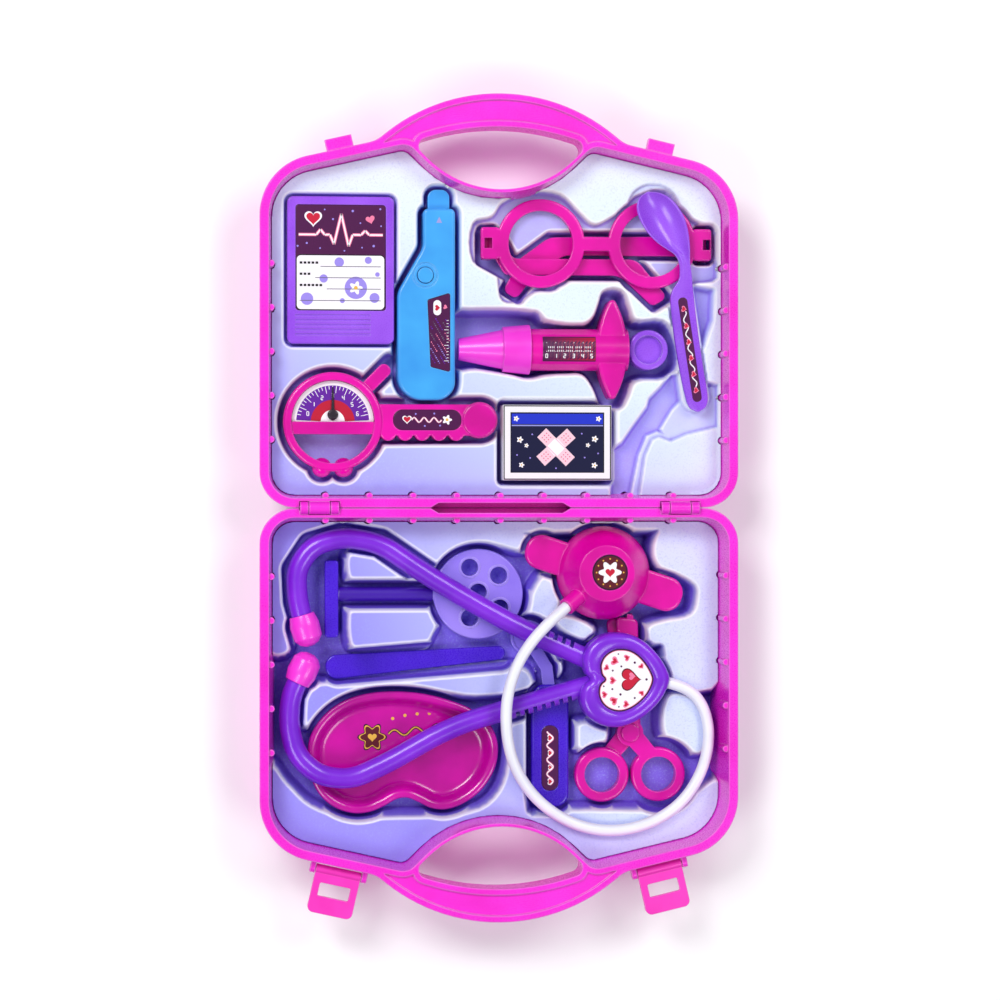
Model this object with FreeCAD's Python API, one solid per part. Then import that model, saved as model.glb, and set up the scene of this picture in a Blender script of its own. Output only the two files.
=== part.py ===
import FreeCAD, Part
import math
import os
from FreeCAD import Vector

# Toy doctor case, open and lying flat. Millimetres. X runs along the hinge, the lid lies at +Y and
# the base at -Y, Z is up. The origin is on the floor under the middle of the hinge.

# Common to the pieces
EDGE_LARGE = 1.5             # rounding of the moulded edges
EDGE_MIDDLE = 1.0
EDGE_SMALL = 0.8
EDGE_TINY = 0.4
PAST = 1.0                   # a cut runs this far past a face
LABEL_RECESS = 0.8
LABEL_THICK = 0.6
LABEL_GAP = 0.1

# Case
CASE_WIDTH = 231.0
CASE_REACH = 176.0           # hinge line to the shoulder where the handle starts
HALF_DEPTH = 36.0            # floor to hinge axis, half of the closed thickness
HINGE_GAP = 0.15             # each rim stays this far from the hinge plane and the parting plane
SHOULDER = 58.0              # half width across the handle's shoulders
FRONT_SLOPE = 13.0           # degrees that the front edges fall away from the handle
HINGE_CORNER = 17.0
FRONT_CORNER = 29.0
RIM_WIDTH = 4.5
RIM_THICK = 3.0
WALL = 2.0
WALL_DRAFT = 3.5             # how much further in the wall stands at the floor than at the rim
FLOOR = 2.0
FOOT_CHAMFER = 2.5
RIB_RADIUS = 1.6
RIB_PITCH = 21.0
RIB_DROP = 15.0              # length of a wall rib below the parting plane

# Handle
HANDLE_REACH = 199.0
HANDLE_SPAN = 60.0           # half width where the arch leaves the front edges
HANDLE_BLEND = 14.0
HANDLE_THICK = 17.0
HANDLE_RUN = 4.5             # straight run at each end of the arch
HANDLE_ROOT = 10.0           # how far the arch runs on inside the case
HANDLE_CHAMFER = 5.0
HANDLE_DRAFT = 3.0
HANDLE_BEAD = 3.0
HANDLE_CHANNEL = 1.4
HOLE_HALF_WIDTH = 43.0
HOLE_MIDDLE = 175.0          # hinge line to the corners of the finger hole
HOLE_NEAR = 22.0             # rise of the hole's edge towards the hinge
HOLE_FAR = 8.0               # rise of the hole's outer edge
HOLE_NEAR_RUN = 8.0          # straight run at each end of the near edge
HOLE_FAR_RUN = 7.5           # straight run at each end of the outer edge
HOLE_END_RADIUS = 4.0
HOLE_WALL = 1.6              # wall between the finger hole and the inside of the case, at the rim
DIP_CORNER = 12.0

# Hinge
KNUCKLE_RADIUS = 3.0
KNUCKLE_GAP = 0.3
KNUCKLE_MIDDLE = 87.0        # from the middle of the case to the middle of a hinge
LID_KNUCKLE = 10.0
BASE_KNUCKLE = 4.0
PIN_RADIUS = 1.25
PIN_RUN = 0.05               # running clearance round a pin
PIN_SEAT = 0.02              # clearance where a pin is held
RECESS_HALF = 30.0           # dark slot in the middle of the hinge edge
RECESS_WIDTH = 2.4
RECESS_POINT = 4.0
RECESS_DEPTH = 12.0
RECESS_FLOOR = 1.6

# Latches
LATCH_WIDTH = 22.0
LATCH_LENGTH = 21.0
LATCH_THICK = 2.4
LATCH_FROM_ARCH = 17.0       # latch middle from the end of the handle's arch
LATCH_OFFSET = 3.2           # pivot axis outside the rim edge
LATCH_HEIGHT = 29.5
LATCH_BARREL = 2.2
LATCH_PIN = 1.0
LATCH_EAR = 2.6
LATCH_GAP = 0.3
LATCH_CORNER = 3.0
LATCH_LIP = 4.0
SLOT_WIDTH = 15.0
SLOT_HEIGHT = 6.4
SLOT_REACH = 9.5             # pivot axis to the middle of the slot
SLOT_CORNER = 0.8
LUG_CLEAR = 1.0

# Insert trays
SHEET = 1.2
TRAY_INSET = 8.2
TRAY_DRAFT = 0.8
SEAT = 0.3                   # a loose piece lies this far off its seat
POCKET_CLEAR = 0.6
BASE_TRAY_TOP = 18.5
LID_TRAY_TOP = 23.0

# Chart board
CHART_LEFT = 5.3             # from the tray's edge
CHART_WIDTH = 51.5
CHART_NEAR = 79.0
CHART_LENGTH = 71.0
CHART_THICK = 6.0
PROUD = 0.6                  # chart and gauge stand this far out of the tray
CHART_CORNER = 3.0
CHART_BORDER = 4.0
CHART_FOOT = 16.0            # plain foot below the label, with ribs
CHART_RIBS = 5
CHART_RIB_PITCH = 2.3
CHART_RIB_WIDTH = 0.9
CHART_RIB_DEPTH = 0.5
CHART_RIB_LENGTH = 36.0

# Thermometer
THERMO_RIGHT = -21.0
THERMO_WIDTH = 28.0
THERMO_NECK = 15.5
THERMO_NECK_LENGTH = 18.6
THERMO_SLOPE = 22.0          # length of the slope from the neck to the full width
THERMO_NEAR = 52.0
THERMO_LENGTH = 92.6
THERMO_FRONT = 8.0           # depth of the front shell
THERMO_BACK = 7.0            # depth of the back shell
THERMO_PROUD = 1.5
WINDOW_OUTLINE = [(-12.0, 16.0, 1.0), (-2.4, 13.5, 1.0), (-2.4, 52.0, 1.0), (-13.5, 48.5, 1.0)]
SHELL = 1.6
PROBE_WIDTH = 10.5
PROBE_LENGTH = 9.5
PROBE_TONGUE = 6.0
PROBE_THICK = 7.0
BUTTON_X = 14.5              # button middle from the right side
BUTTON_Y = 32.3              # button middle from the neck's end
BUTTON_RADIUS = 3.8
BUTTON_PLAY = 0.25
BUTTON_TRAVEL = 1.0
BUTTON_PROUD = 1.2
BUTTON_FLANGE = 1.3
BUTTON_GROOVE = 1.6          # from the button's edge to the groove round it
BUTTON_GROOVE_WIDTH = 0.8
BUTTON_GROOVE_DEPTH = 0.4
BUTTON_BOSS = 2.5

# Glasses
LENS_RIGHT = 31.5            # right lens centre from the tray's edge
LENS_PITCH = 54.7
LENS_MIDDLE = 128.5
LENS_OUTER = 21.6
LENS_INNER = 15.8
FRAME_THICK = 4.0
FRAME_DROP = 2.0             # frame top below the tray's top
BRIDGE = 7.0
LUG_REACH = 29.3             # lens centre to the end of the lug
LUG_HALF = 7.75
LUG_WINDOW = 2.5
TEMPLE_AXIS = 26.3           # lens centre to the temple's hinge
TEMPLE_BARREL = 2.3
TEMPLE_THICK = 3.5
TEMPLE_GAP = 0.5
TEMPLE_PIN = 1.0
TEMPLE_EAR = 2.5
TEMPLE_ROOM = 2.5            # room for a temple to swing out of its pocket
ROOT_LOW = 3.2               # the left temple leaves its hinge between these two reaches
ROOT_HIGH = 6.2
LEFT_ROOT = [(-17.0, -15.0, 4.0), (-13.0, -7.0, 4.0)]  # corners from the left lens, as for the right hook
LEFT_HOOK = [(-15.0, -15.0, 10.0), (1.0, -30.0, 3.0), (8.5, -25.5, 3.0), (-7.0, -7.0, 8.0)]  # from the right
RIGHT_HOOK = [(-9.0, -6.5, 8.0), (-17.5, -22.5, 3.0), (-11.0, -26.5, 3.0), (-1.0, -13.5, 6.0)]
RIGHT_BEND_HIGH = 5.0        # the right temple bends down between these two places
RIGHT_BEND_LOW = 13.0
RIGHT_TAPER = 1.2

# Spoon
BOWL_X = 27.8                # bowl middle from the tray's edge
BOWL_Y = 137.5
BOWL_LONG = 18.5
BOWL_ROUND = 11.5
BOWL_DEPTH = 7.0
BOWL_ANGLE = 115.0
SPOON_WALL = 1.6
SPOON_END_X = 10.1
SPOON_END_Y = 54.0
SPOON_NECK = 7.0
SPOON_WIDTH = 10.5
SPOON_THICK = 4.0
SPOON_SLOT = 5.2             # width of the label on the handle
SPOON_SLOT_SHARE = 0.68      # share of the handle that the label covers

# Syringe
SYRINGE_Y = 77.0
SYRINGE_TIP = -19.0
SYRINGE_DROP = 6.5           # axis below the tray's top
NOZZLE_TIP_RADIUS = 5.2
NOZZLE_CONE_RADIUS = 9.6
NOZZLE_CONE = 21.5
COLLAR = 13.3
COLLAR_RADIUS = 12.2
COLLAR_TAPER = 1.2
BARREL_LENGTH = 48.0
BARREL_RADIUS = 10.2
BORE_RADIUS = 8.05
SPIGOT = 4.0
FLANGE_HALF = 26.5
FLANGE_RISE = 7.5
FLANGE_RUN = 4.0
FLANGE_DEPTH = 7.65          # half thickness of the finger flange
FLANGE_FROM_END = 8.0
SEAL_RUN = 0.05
SEAL_LENGTH = 4.0
GUIDE = 2.0                  # thickness of the plunger's guide discs
GUIDE_CLEAR = 0.15
SCALE_HALF = 6.0             # half width of the scale label
SCALE_THICK = 0.2
PLUNGER_ROD = 4.2
THUMB_HALF = 5.2             # half height of the thumb disc
THUMB_RADIUS = 9.7
THUMB_RECESS = 7.0
THUMB_GAP = 0.3
THUMB_DISH = 2.5             # depth of the thumb recess
THUMB_ROOM = 4.0             # room for the thumb disc along the syringe

# Dial gauge
GAUGE_LEFT = 27.3            # ring middle from the tray's edge
GAUGE_Y = 41.5
GAUGE_RADIUS = 24.0
GAUGE_RING = 4.0
GAUGE_DEPTH = 10.0
GAUGE_COVER = 2.5
GAUGE_BAR = 6.0
GAUGE_BAR_DROP = 0.8
GAUGE_PLATE = 2.5            # plate behind the dial
DIAL_DROP = 3.0
DIAL_THICK = 0.6
NEEDLE_LENGTH = 13.5
NEEDLE_HUB = 2.6
NEEDLE_THICK = 0.8
NEEDLE_ROOT = 0.9            # half width at the hub
NEEDLE_TIP = 0.25
NEEDLE_RISE = 0.8            # hub clear of the cross bar
PIVOT_RADIUS = 1.0
PIVOT_CAP = 0.9
GRIP_END = -9.0
GRIP_HALF = 8.6
GRIP_DROP = 1.0
GRIP_FOOT = 2.0              # the bar starts this far above the scallops' line
GRIP_SHIFT = 1.0             # knob and label sit this far above the dial's middle
KNOB_RADIUS = 8.8
KNOB_RISE = 1.2
KNOB_STEP = 0.5
SCALLOPS = 5
SCALLOP_RISE = 3.5
SCALLOP_SHARE = 0.48         # scallop radius as a share of the pitch
SCALLOP_START = 0.7
BALL_RADIUS = 4.8
BALL_GAP = 0.4               # half the gap between the two balls
BALL_SINK = 2.0              # how far the balls sit inside the ring's edge
STUB_RADIUS = 3.2
STUB_LENGTH = 13.0
STUB_ANGLE = 45.0
GRIP_LABEL = 10.0

# Bandage box
BOX_LEFT = 2.2
BOX_WIDTH = 53.0
BOX_NEAR = 13.4
BOX_LENGTH = 36.5
BOX_THICK = 15.5
BOX_PROUD = 1.5
CARTON = 0.8

# Stethoscope
ARM_RADIUS = 5.0
ARM_Z = 17.0
ARM_PLAY = 0.05              # clearance of the tubes in their sockets
UPPER_ARM = [(-93.2, -57.5), (-96.8, -45.0), (-97.6, -30.0), (-90.0, -18.5), (-75.0, -14.0),
             (-57.0, -17.0), (-36.0, -31.5), (-12.0, -46.0), (14.0, -60.0), (46.0, -74.5)]
LOWER_ARM = [(-94.5, -79.0), (-100.2, -91.0), (-101.0, -105.0), (-97.5, -119.5), (-86.5, -129.5),
             (-71.0, -131.5), (-53.0, -123.5), (-22.0, -106.0), (18.0, -94.5), (46.0, -86.5)]
EAR_TIP_RADIUS = 7.3
EAR_TIP_LENGTH = 9.5
EAR_TIP_GRIP = 6.0           # how far a tip covers the end of its tube
EAR_TIP_PROFILE = [(0.0, 5.2), (1.2, 2.6), (4.0, 0.4), (10.5, 0.0), (15.5, 1.2)]  # (back from the end, inset)
EAR_TIP_ROOM = 4.0           # how far its pocket runs on along the tube
HEART_X = 61.0
HEART_Y = -83.5
HEART_OUTLINE = [(23.5, 0.0, 8.0), (2.0, 24.5, 16.0), (-25.0, 21.5, 12.0), (-19.0, 0.0, 4.0),
                 (-25.0, -21.5, 12.0), (2.0, -24.5, 16.0)]  # corners from the hub's middle
HEART_LOW = 12.0
HEART_TOP = 27.5
HEART_WALL = 2.0
HEART_EDGE = 2.0
HEART_BORDER = 7.0
NOTCH_START = 12.0           # from the tube's end inside the hub
NOTCH_PITCH = 4.4
NOTCH_DEPTH = 3.0
NOTCH_WIDTH = 2.0
UPPER_NOTCHES = 4
LOWER_NOTCHES = 7
CHEST_X = 52.4
CHEST_Y = -31.8
CHEST_RADIUS = 22.8
CHEST_LOW = 10.0
CHEST_HEIGHT = 19.0
CHEST_FLAT = 13.5
CHEST_SKIRT = 6.0            # height of the upright skirt
CHEST_BREAK = 11.0           # height where the dome's slope changes
CHEST_BREAK_IN = 2.6
CHEST_WALL = 2.2
DIAPHRAGM = 1.2
LOBE_WIDTH = 17.0
LOBE_RISE = 2.5
LOBE_THICK = 5.0
LOBE_LEFT = (22.5, -21.8)
LOBE_RIGHT = (83.0, -42.0)
CHEST_LABEL = 8.7
CHEST_LABEL_X = 1.5          # label middle from the dome's middle
CHEST_LABEL_Y = 0.5
HOSE_RADIUS = 2.8
HOSE_COLLAR = 1.4
HOSE_COLLAR_LENGTH = 9.5
HOSE_ROUTE = [(79.0, -84.4, 21.6), (91.0, -86.6, 21.6), (100.5, -95.0, 21.6), (104.4, -110.0, 21.6),
              (101.0, -128.0, 21.6), (90.5, -144.5, 21.6), (73.5, -154.8, 21.6), (54.2, -158.0, 21.6),
              (35.0, -153.6, 21.6), (18.5, -142.0, 22.4), (7.5, -126.0, 25.6), (3.0, -109.0, 30.4),
              (3.2, -91.5, 30.4), (8.0, -76.5, 29.4), (15.0, -64.8, 30.6), (23.8, -55.4, 30.6),
              (32.0, -48.6, 27.2), (39.6, -42.6, 22.8)]

# Reflex hammer
HAMMER_HEAD_X = -83.5
HAMMER_HEAD_WIDTH = 6.7
HAMMER_HEAD_FAR = -63.0
HAMMER_HEAD_LENGTH = 37.5
HAMMER_Y = -42.0
HAMMER_SHAFT = 3.6
HAMMER_DISC_X = -8.6
HAMMER_DISC = 22.0
HAMMER_THICK = 7.5
HAMMER_HOLE = 4.2
HAMMER_HOLE_RIM = 1.0
HAMMER_RIM_RISE = 0.4
HAMMER_TENON = 4.0
HAMMER_HOLES = [(-4.2, 12.9), (10.0, 9.0), (0.0, 0.8), (10.6, -7.0), (-4.2, -11.6)]

# Tongue depressor
DEPRESSOR_LEFT = (-77.0, -77.2)
DEPRESSOR_RIGHT = (1.5, -71.0)
DEPRESSOR_WIDE = 12.0
DEPRESSOR_NARROW = 6.5
DEPRESSOR_THICK = 2.8
DEPRESSOR_LOW = 7.0

# Kidney dish
DISH_LEFT = -92.5
DISH_WIDTH = 95.0
DISH_FAR = -148.0
DISH_LENGTH = 58.5
DISH_HEIGHT = 7.8
DISH_RIM = 3.4
DISH_DRAFT = 4.0
DISH_WALL = 1.8
DISH_BITE = [(-11.0, 0.0, 9.5), (-1.0, 9.5, 7.0), (9.0, 0.0, 9.5)]  # where the front edge bends in
DISH_FRONT_CORNER = 24.0
DISH_BACK_CORNER = 33.0

# Throat mirror
MIRROR_LEFT = 17.5
MIRROR_WIDTH = 18.5
MIRROR_FAR = -146.5
MIRROR_LENGTH = 60.0
MIRROR_THICK = 7.5
MIRROR_DISC = (16.0, -63.5)
MIRROR_DISC_RADIUS = 8.5
MIRROR_CORNER = 6.5
MIRROR_NECK = 6.0
MIRROR_TENON = 4.0
MIRROR_LEAN = 1.5            # the neck's bend from the handle's middle line
MIRROR_RISE = 8.0            # the neck's bend from the handle's end
MIRROR_NECK_LOW = 1.6
MIRROR_NECK_THICK = 3.8
MIRROR_DIMPLE = 0.8
MIRROR_DIMPLE_RIM = 1.4
MIRROR_LABEL_HALF = 4.2
MIRROR_LABEL_START = 8.0
MIRROR_LABEL_LENGTH = 32.0

# Scissors
PIVOT_X = 66.5
PIVOT_Y = -110.5
RING_SPREAD = 14.0
RING_DROP = 20.5
RING_OUTER = 13.4
RING_INNER = 8.6
BLADE_TIP = -53.0
BLADE_THICK = 3.2
SHANK_WIDTH = 8.0
SHANK_IN = 4.0               # the shank leaves its ring this far inside its middle
SHANK_RISE = 9.0
EYE_WIDTH = 10.0
EYE_RADIUS = 6.5
BLADE_GAP = 0.3
RIVET_RADIUS = 2.5
RIVET_HEAD = 4.5
RIVET_CAP = 0.8
SCISSOR_ROOM = 2.5           # room for the right half to open while it is lifted
SWING_LEFT = 14.0            # reach of the blades' pocket to the left of the pivot, at the tip
SWING_RIGHT = 4.0
SWING_ROOT = 6.0             # half width of that pocket at the pivot

CASE_HALF = CASE_WIDTH / 2
RIM_TOP = HALF_DEPTH - HINGE_GAP
WEST = TRAY_INSET - CASE_HALF
EAST = CASE_HALF - TRAY_INSET
LOW_FLOOR = FLOOR + SEAT + SHEET
LOW = LOW_FLOOR + SEAT       # underside of the pieces in the deep pockets
LATCH_MIDDLE = HANDLE_SPAN + LATCH_FROM_ARCH

ALONG_X = Vector(1, 0, 0)

os.makedirs("parts", exist_ok=True)


def export(name, shape):
    """Write one piece; every piece is one or more closed solids."""
    if not shape.isValid():
        print("invalid", name)
    shape.exportStep("parts/" + name + ".step")
    print(name, len(shape.Solids), round(shape.Volume, 1))


def fuse(shapes):
    """One shape from a list."""
    if len(shapes) == 1:
        return shapes[0]
    return shapes[0].fuse(shapes[1:]).removeSplitter()


def grown(points, grow):
    """Offset a counter-clockwise polygon of (x, y, corner radius) outwards."""
    result = []
    count = len(points)
    for i in range(count):
        x, y, radius = points[i]
        ax, ay = points[i - 1][0:2]
        bx, by = points[(i + 1) % count][0:2]
        first = Vector(x - ax, y - ay, 0).normalize()
        second = Vector(bx - x, by - y, 0).normalize()
        normal_a = Vector(first.y, -first.x, 0)
        normal_b = Vector(second.y, -second.x, 0)
        shift = (normal_a + normal_b) * (grow / (1 + normal_a.dot(normal_b)))
        convex = first.cross(second).z > 0
        radius = radius + grow if convex else max(radius - grow, 0.0)
        result.append((x + shift.x, y + shift.y, radius))
    return result


def outline(points, grow=0.0, z=0.0):
    """Closed wire round a polygon of (x, y, corner radius), corners rounded by arcs."""
    if grow:
        points = grown(points, grow)
    corners = []
    count = len(points)
    for i in range(count):
        x, y, radius = points[i]
        corner = Vector(x, y, z)
        back = Vector(points[i - 1][0], points[i - 1][1], z).sub(corner).normalize()
        after = points[(i + 1) % count]
        ahead = Vector(after[0], after[1], z).sub(corner).normalize()
        half = math.acos(max(-1.0, min(1.0, back.dot(ahead)))) / 2
        if radius < 0.01 or half > math.pi / 2 - 1e-4:
            corners.append((corner, None, corner))
            continue
        reach = radius / math.tan(half)
        inward = (back + ahead).normalize()
        middle = corner + inward * (radius / math.sin(half) - radius)
        corners.append((corner + back * reach, middle, corner + ahead * reach))
    edges = []
    for i in range(count):
        start, middle, end = corners[i]
        if middle is not None:
            edges.append(Part.Arc(start, middle, end).toShape())
        following = corners[(i + 1) % count][0]
        if end.distanceToPoint(following) > 1e-4:
            edges.append(Part.LineSegment(end, following).toShape())
    return Part.Wire(Part.__sortEdges__(edges))


def prism(points, bottom, top, grow=0.0):
    """Upright solid over a rounded polygon."""
    return Part.Face(outline(points, grow, bottom)).extrude(Vector(0, 0, top - bottom))


def taper(points, bottom, bottom_grow, top, top_grow):
    """Solid between one outline grown by different amounts at two heights."""
    wires = [outline(points, bottom_grow, bottom), outline(points, top_grow, top)]
    return Part.makeLoft(wires, True, True)


def block(x0, x1, y0, y1, z0, z1):
    """Box between corners."""
    return Part.makeBox(x1 - x0, y1 - y0, z1 - z0, Vector(x0, y0, z0))


def post(x, y, radius, z0, z1):
    """Upright cylinder."""
    return Part.makeCylinder(radius, z1 - z0, Vector(x, y, z0))


def rod(start, end, radius):
    """Cylinder between two points."""
    along = end.sub(start)
    return Part.makeCylinder(radius, along.Length, start, along)


def rectangle(x0, x1, y0, y1, radius):
    """Plan of a rounded rectangle."""
    return [(x0, y0, radius), (x1, y0, radius), (x1, y1, radius), (x0, y1, radius)]


def around(x, y, corners):
    """Corners of a plan, moved to a place."""
    return [(x + dx, y + dy, radius) for dx, dy, radius in corners]


def disc(x, y, radius):
    """Plan of a circle."""
    return rectangle(x - radius, x + radius, y - radius, y + radius, radius)


def strip(x0, y0, width0, x1, y1, width1):
    """Plan of a tapered bar with rounded ends, from one end's middle to the other's."""
    along = Vector(x1 - x0, y1 - y0, 0).normalize()
    side = Vector(-along.y, along.x, 0)
    plan = []
    for x, y, width, reach, sign in ((x0, y0, width0, -1, 1), (x0, y0, width0, -1, -1),
                                     (x1, y1, width1, 1, -1), (x1, y1, width1, 1, 1)):
        end = Vector(x, y, 0) + along * (reach * width / 2) + side * (sign * width / 2)
        plan.append((end.x, end.y, 0.46 * width))
    return plan


def prisms(plans, bottom, top, grow=0.0):
    """One solid over several overlapping plans."""
    return fuse([prism(plan, bottom, top, grow) for plan in plans])


def level_edges(shape, z):
    """Edges of a shape that lie flat at one height."""
    found = []
    for edge in shape.Edges:
        box = edge.BoundBox
        if abs(box.ZMin - z) < 1e-3 and abs(box.ZMax - z) < 1e-3:
            found.append(edge)
    return found


def soften(shape, z, radius):
    """Round the edges of a shape that lie at one height."""
    return shape.makeFillet(radius, level_edges(shape, z))


def recess(plan, face):
    """Cutter for a label's recess in a flat face."""
    return prism(plan, face - LABEL_RECESS, face + PAST)


def label(plan, face):
    """Label that lies in its recess."""
    bottom = face - LABEL_RECESS
    return prism(plan, bottom, bottom + LABEL_THICK, -LABEL_GAP)


def turned(shape, centre, axis, degrees):
    """Copy of a shape turned about an axis."""
    copy = shape.copy()
    copy.rotate(centre, axis, degrees)
    return copy


def flipped(shape):
    """Copy of a lid piece on the base's side of the hinge."""
    return shape.mirror(Vector(0, 0, 0), Vector(0, 1, 0))


def arch(half, rise, run):
    """Corner rise and radius that round a gable into an arch with a straight run at each end."""
    slope = math.atan(rise / half)
    for _ in range(40):
        slope = 2 * math.atan((rise - run * math.tan(slope)) / (half - run))
    return half * math.tan(slope), (half - run) / math.sin(slope), slope


def front_line(x):
    """Distance from the hinge to the sloped front edge."""
    return CASE_REACH - (abs(x) - SHOULDER) * math.tan(math.radians(FRONT_SLOPE))


HOLE_RISE, HOLE_RADIUS, HOLE_SLOPE = arch(HOLE_HALF_WIDTH, HOLE_NEAR, HOLE_NEAR_RUN)
FAR_RISE, FAR_RADIUS, _ = arch(HOLE_HALF_WIDTH, HOLE_FAR, HOLE_FAR_RUN)
HOLE_PLAN = [(-HOLE_HALF_WIDTH, HOLE_MIDDLE, HOLE_END_RADIUS),
             (0, HOLE_MIDDLE - HOLE_RISE, HOLE_RADIUS),
             (HOLE_HALF_WIDTH, HOLE_MIDDLE, HOLE_END_RADIUS),
             (0, HOLE_MIDDLE + FAR_RISE, FAR_RADIUS)]


def case_plan():
    """Rim of one half in lid position: a rounded box whose front dips round the finger hole."""
    shift = RIM_WIDTH - HOLE_WALL
    dip = HOLE_MIDDLE - HOLE_RISE + shift / math.cos(HOLE_SLOPE)
    fall = math.tan(math.radians(FRONT_SLOPE))
    corner = (CASE_REACH + SHOULDER * fall - dip) / (math.tan(HOLE_SLOPE) + fall)
    right = [(CASE_HALF, HINGE_GAP, HINGE_CORNER),
             (CASE_HALF, front_line(CASE_HALF), FRONT_CORNER),
             (corner, front_line(corner), DIP_CORNER)]
    left = [(-x, y, radius) for x, y, radius in reversed(right)]
    return right + [(0, dip, HOLE_RADIUS - shift)] + left


CASE_PLAN = case_plan()


def handle_plan():
    """Half handle in lid position: an arch on the front edge, closed inside the case."""
    rise, radius, _ = arch(HANDLE_SPAN, HANDLE_REACH - front_line(HANDLE_SPAN), HANDLE_RUN)
    shoulder = HANDLE_SPAN + HANDLE_ROOT
    right = [(shoulder, HOLE_MIDDLE - HOLE_NEAR, 0.0),
             (shoulder, front_line(shoulder), 0.0),
             (HANDLE_SPAN, front_line(HANDLE_SPAN), HANDLE_BLEND)]
    left = [(-x, y, r) for x, y, r in reversed(right)]
    return right + [(0, front_line(HANDLE_SPAN) + rise, radius)] + left


def case_half():
    """One half of the case in lid position, without its hinge and latch details."""
    outer = RIM_WIDTH - WALL
    inner = RIM_WIDTH + WALL_DRAFT
    foot = inner - WALL
    bottom = RIM_TOP - HANDLE_THICK
    handle = handle_plan()
    body = fuse([
        prism(CASE_PLAN, RIM_TOP - RIM_THICK, RIM_TOP),
        taper(CASE_PLAN, FOOT_CHAMFER, -foot, RIM_TOP - RIM_THICK, -outer),
        taper(CASE_PLAN, 0, -foot - FOOT_CHAMFER, FOOT_CHAMFER, -foot),
        taper(handle, bottom, -HANDLE_DRAFT, bottom + HANDLE_CHAMFER, 0),
        prism(handle, bottom + HANDLE_CHAMFER, RIM_TOP)])
    channel = prism(handle, RIM_TOP - HANDLE_CHANNEL, RIM_TOP, -HANDLE_BEAD)
    channel = channel.cut([prism(HOLE_PLAN, 0, HALF_DEPTH, HANDLE_BEAD),
                           prism(CASE_PLAN, 0, HALF_DEPTH, -HOLE_WALL)])
    cavity = taper(CASE_PLAN, FLOOR, -inner, RIM_TOP, -RIM_WIDTH)
    body = body.cut([cavity, prism(HOLE_PLAN, 0, HALF_DEPTH), channel])
    return body.fuse(wall_ribs()).removeSplitter()


def wall_ribs():
    """Half-round ribs that stiffen the hinge wall and the side walls."""
    stand = RIM_WIDTH - WALL + WALL_DRAFT * RIB_DROP / RIM_TOP + RIB_RADIUS + PIN_RUN
    ribs = []
    across = int((CASE_HALF - HINGE_CORNER - RIM_WIDTH) / RIB_PITCH)
    for step in range(-across, across + 1):
        ribs.append((step * RIB_PITCH, HINGE_GAP + stand))
    along = int((front_line(CASE_HALF) - FRONT_CORNER - HINGE_CORNER) / RIB_PITCH)
    for step in range(along):
        for side in (-1, 1):
            ribs.append((side * (CASE_HALF - stand), HINGE_CORNER + RIB_PITCH * (step + 0.75)))
    return [post(x, y, RIB_RADIUS, RIM_TOP - RIB_DROP, RIM_TOP - RIB_RADIUS) for x, y in ribs]


def edge_frame(shape, side):
    """Move a shape from the front edge's own frame, X along the edge and Y outwards, to its place."""
    shape = turned(shape, Vector(0, 0, 0), Vector(0, 0, 1), -FRONT_SLOPE)
    shape.translate(Vector(LATCH_MIDDLE, front_line(LATCH_MIDDLE), 0))
    if side < 0:
        shape = shape.mirror(Vector(0, 0, 0), Vector(1, 0, 0))
    return shape


def hinge_rod(x0, x1, radius):
    """Cylinder on the hinge axis."""
    return rod(Vector(x0, 0, HALF_DEPTH), Vector(x1, 0, HALF_DEPTH), radius)


def hinge_spans(side):
    """Start and end along X of the lid knuckle and of the two base knuckles of one hinge."""
    half = LID_KNUCKLE / 2
    reach = half + KNUCKLE_GAP + BASE_KNUCKLE
    spans = [(-half, half), (-reach, -half - KNUCKLE_GAP), (half + KNUCKLE_GAP, reach)]
    middle = side * KNUCKLE_MIDDLE
    spans = [(middle + a, middle + b) for a, b in spans]
    return spans[0:1], spans[1:3]


def with_hinge(body, own, other, clearance):
    """Add one half's knuckles and bore them, and cut room for the other half's."""
    swing = KNUCKLE_RADIUS + KNUCKLE_GAP
    body = body.cut([hinge_rod(a - KNUCKLE_GAP, b + KNUCKLE_GAP, swing) for a, b in other])
    body = body.fuse([hinge_rod(a, b, KNUCKLE_RADIUS) for a, b in own])
    bores = [hinge_rod(a - KNUCKLE_GAP, b + KNUCKLE_GAP, PIN_RADIUS + clearance) for a, b in own]
    return body.cut(bores).removeSplitter()


def hinge_recess(body):
    """Slot with pointed ends along the middle of the hinge edge, closed below by a thin web."""
    point = RECESS_HALF + RECESS_POINT
    plan = [(-point, 0, 0), (point, 0, 0), (RECESS_HALF, RECESS_WIDTH, 0), (-RECESS_HALF, RECESS_WIDTH, 0)]
    top = RIM_TOP - RECESS_DEPTH
    web = block(-point, point, HINGE_GAP, RIM_WIDTH, top - RECESS_FLOOR, top)
    return body.cut(prism(plan, top, HALF_DEPTH)).fuse(web).removeSplitter()


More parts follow.
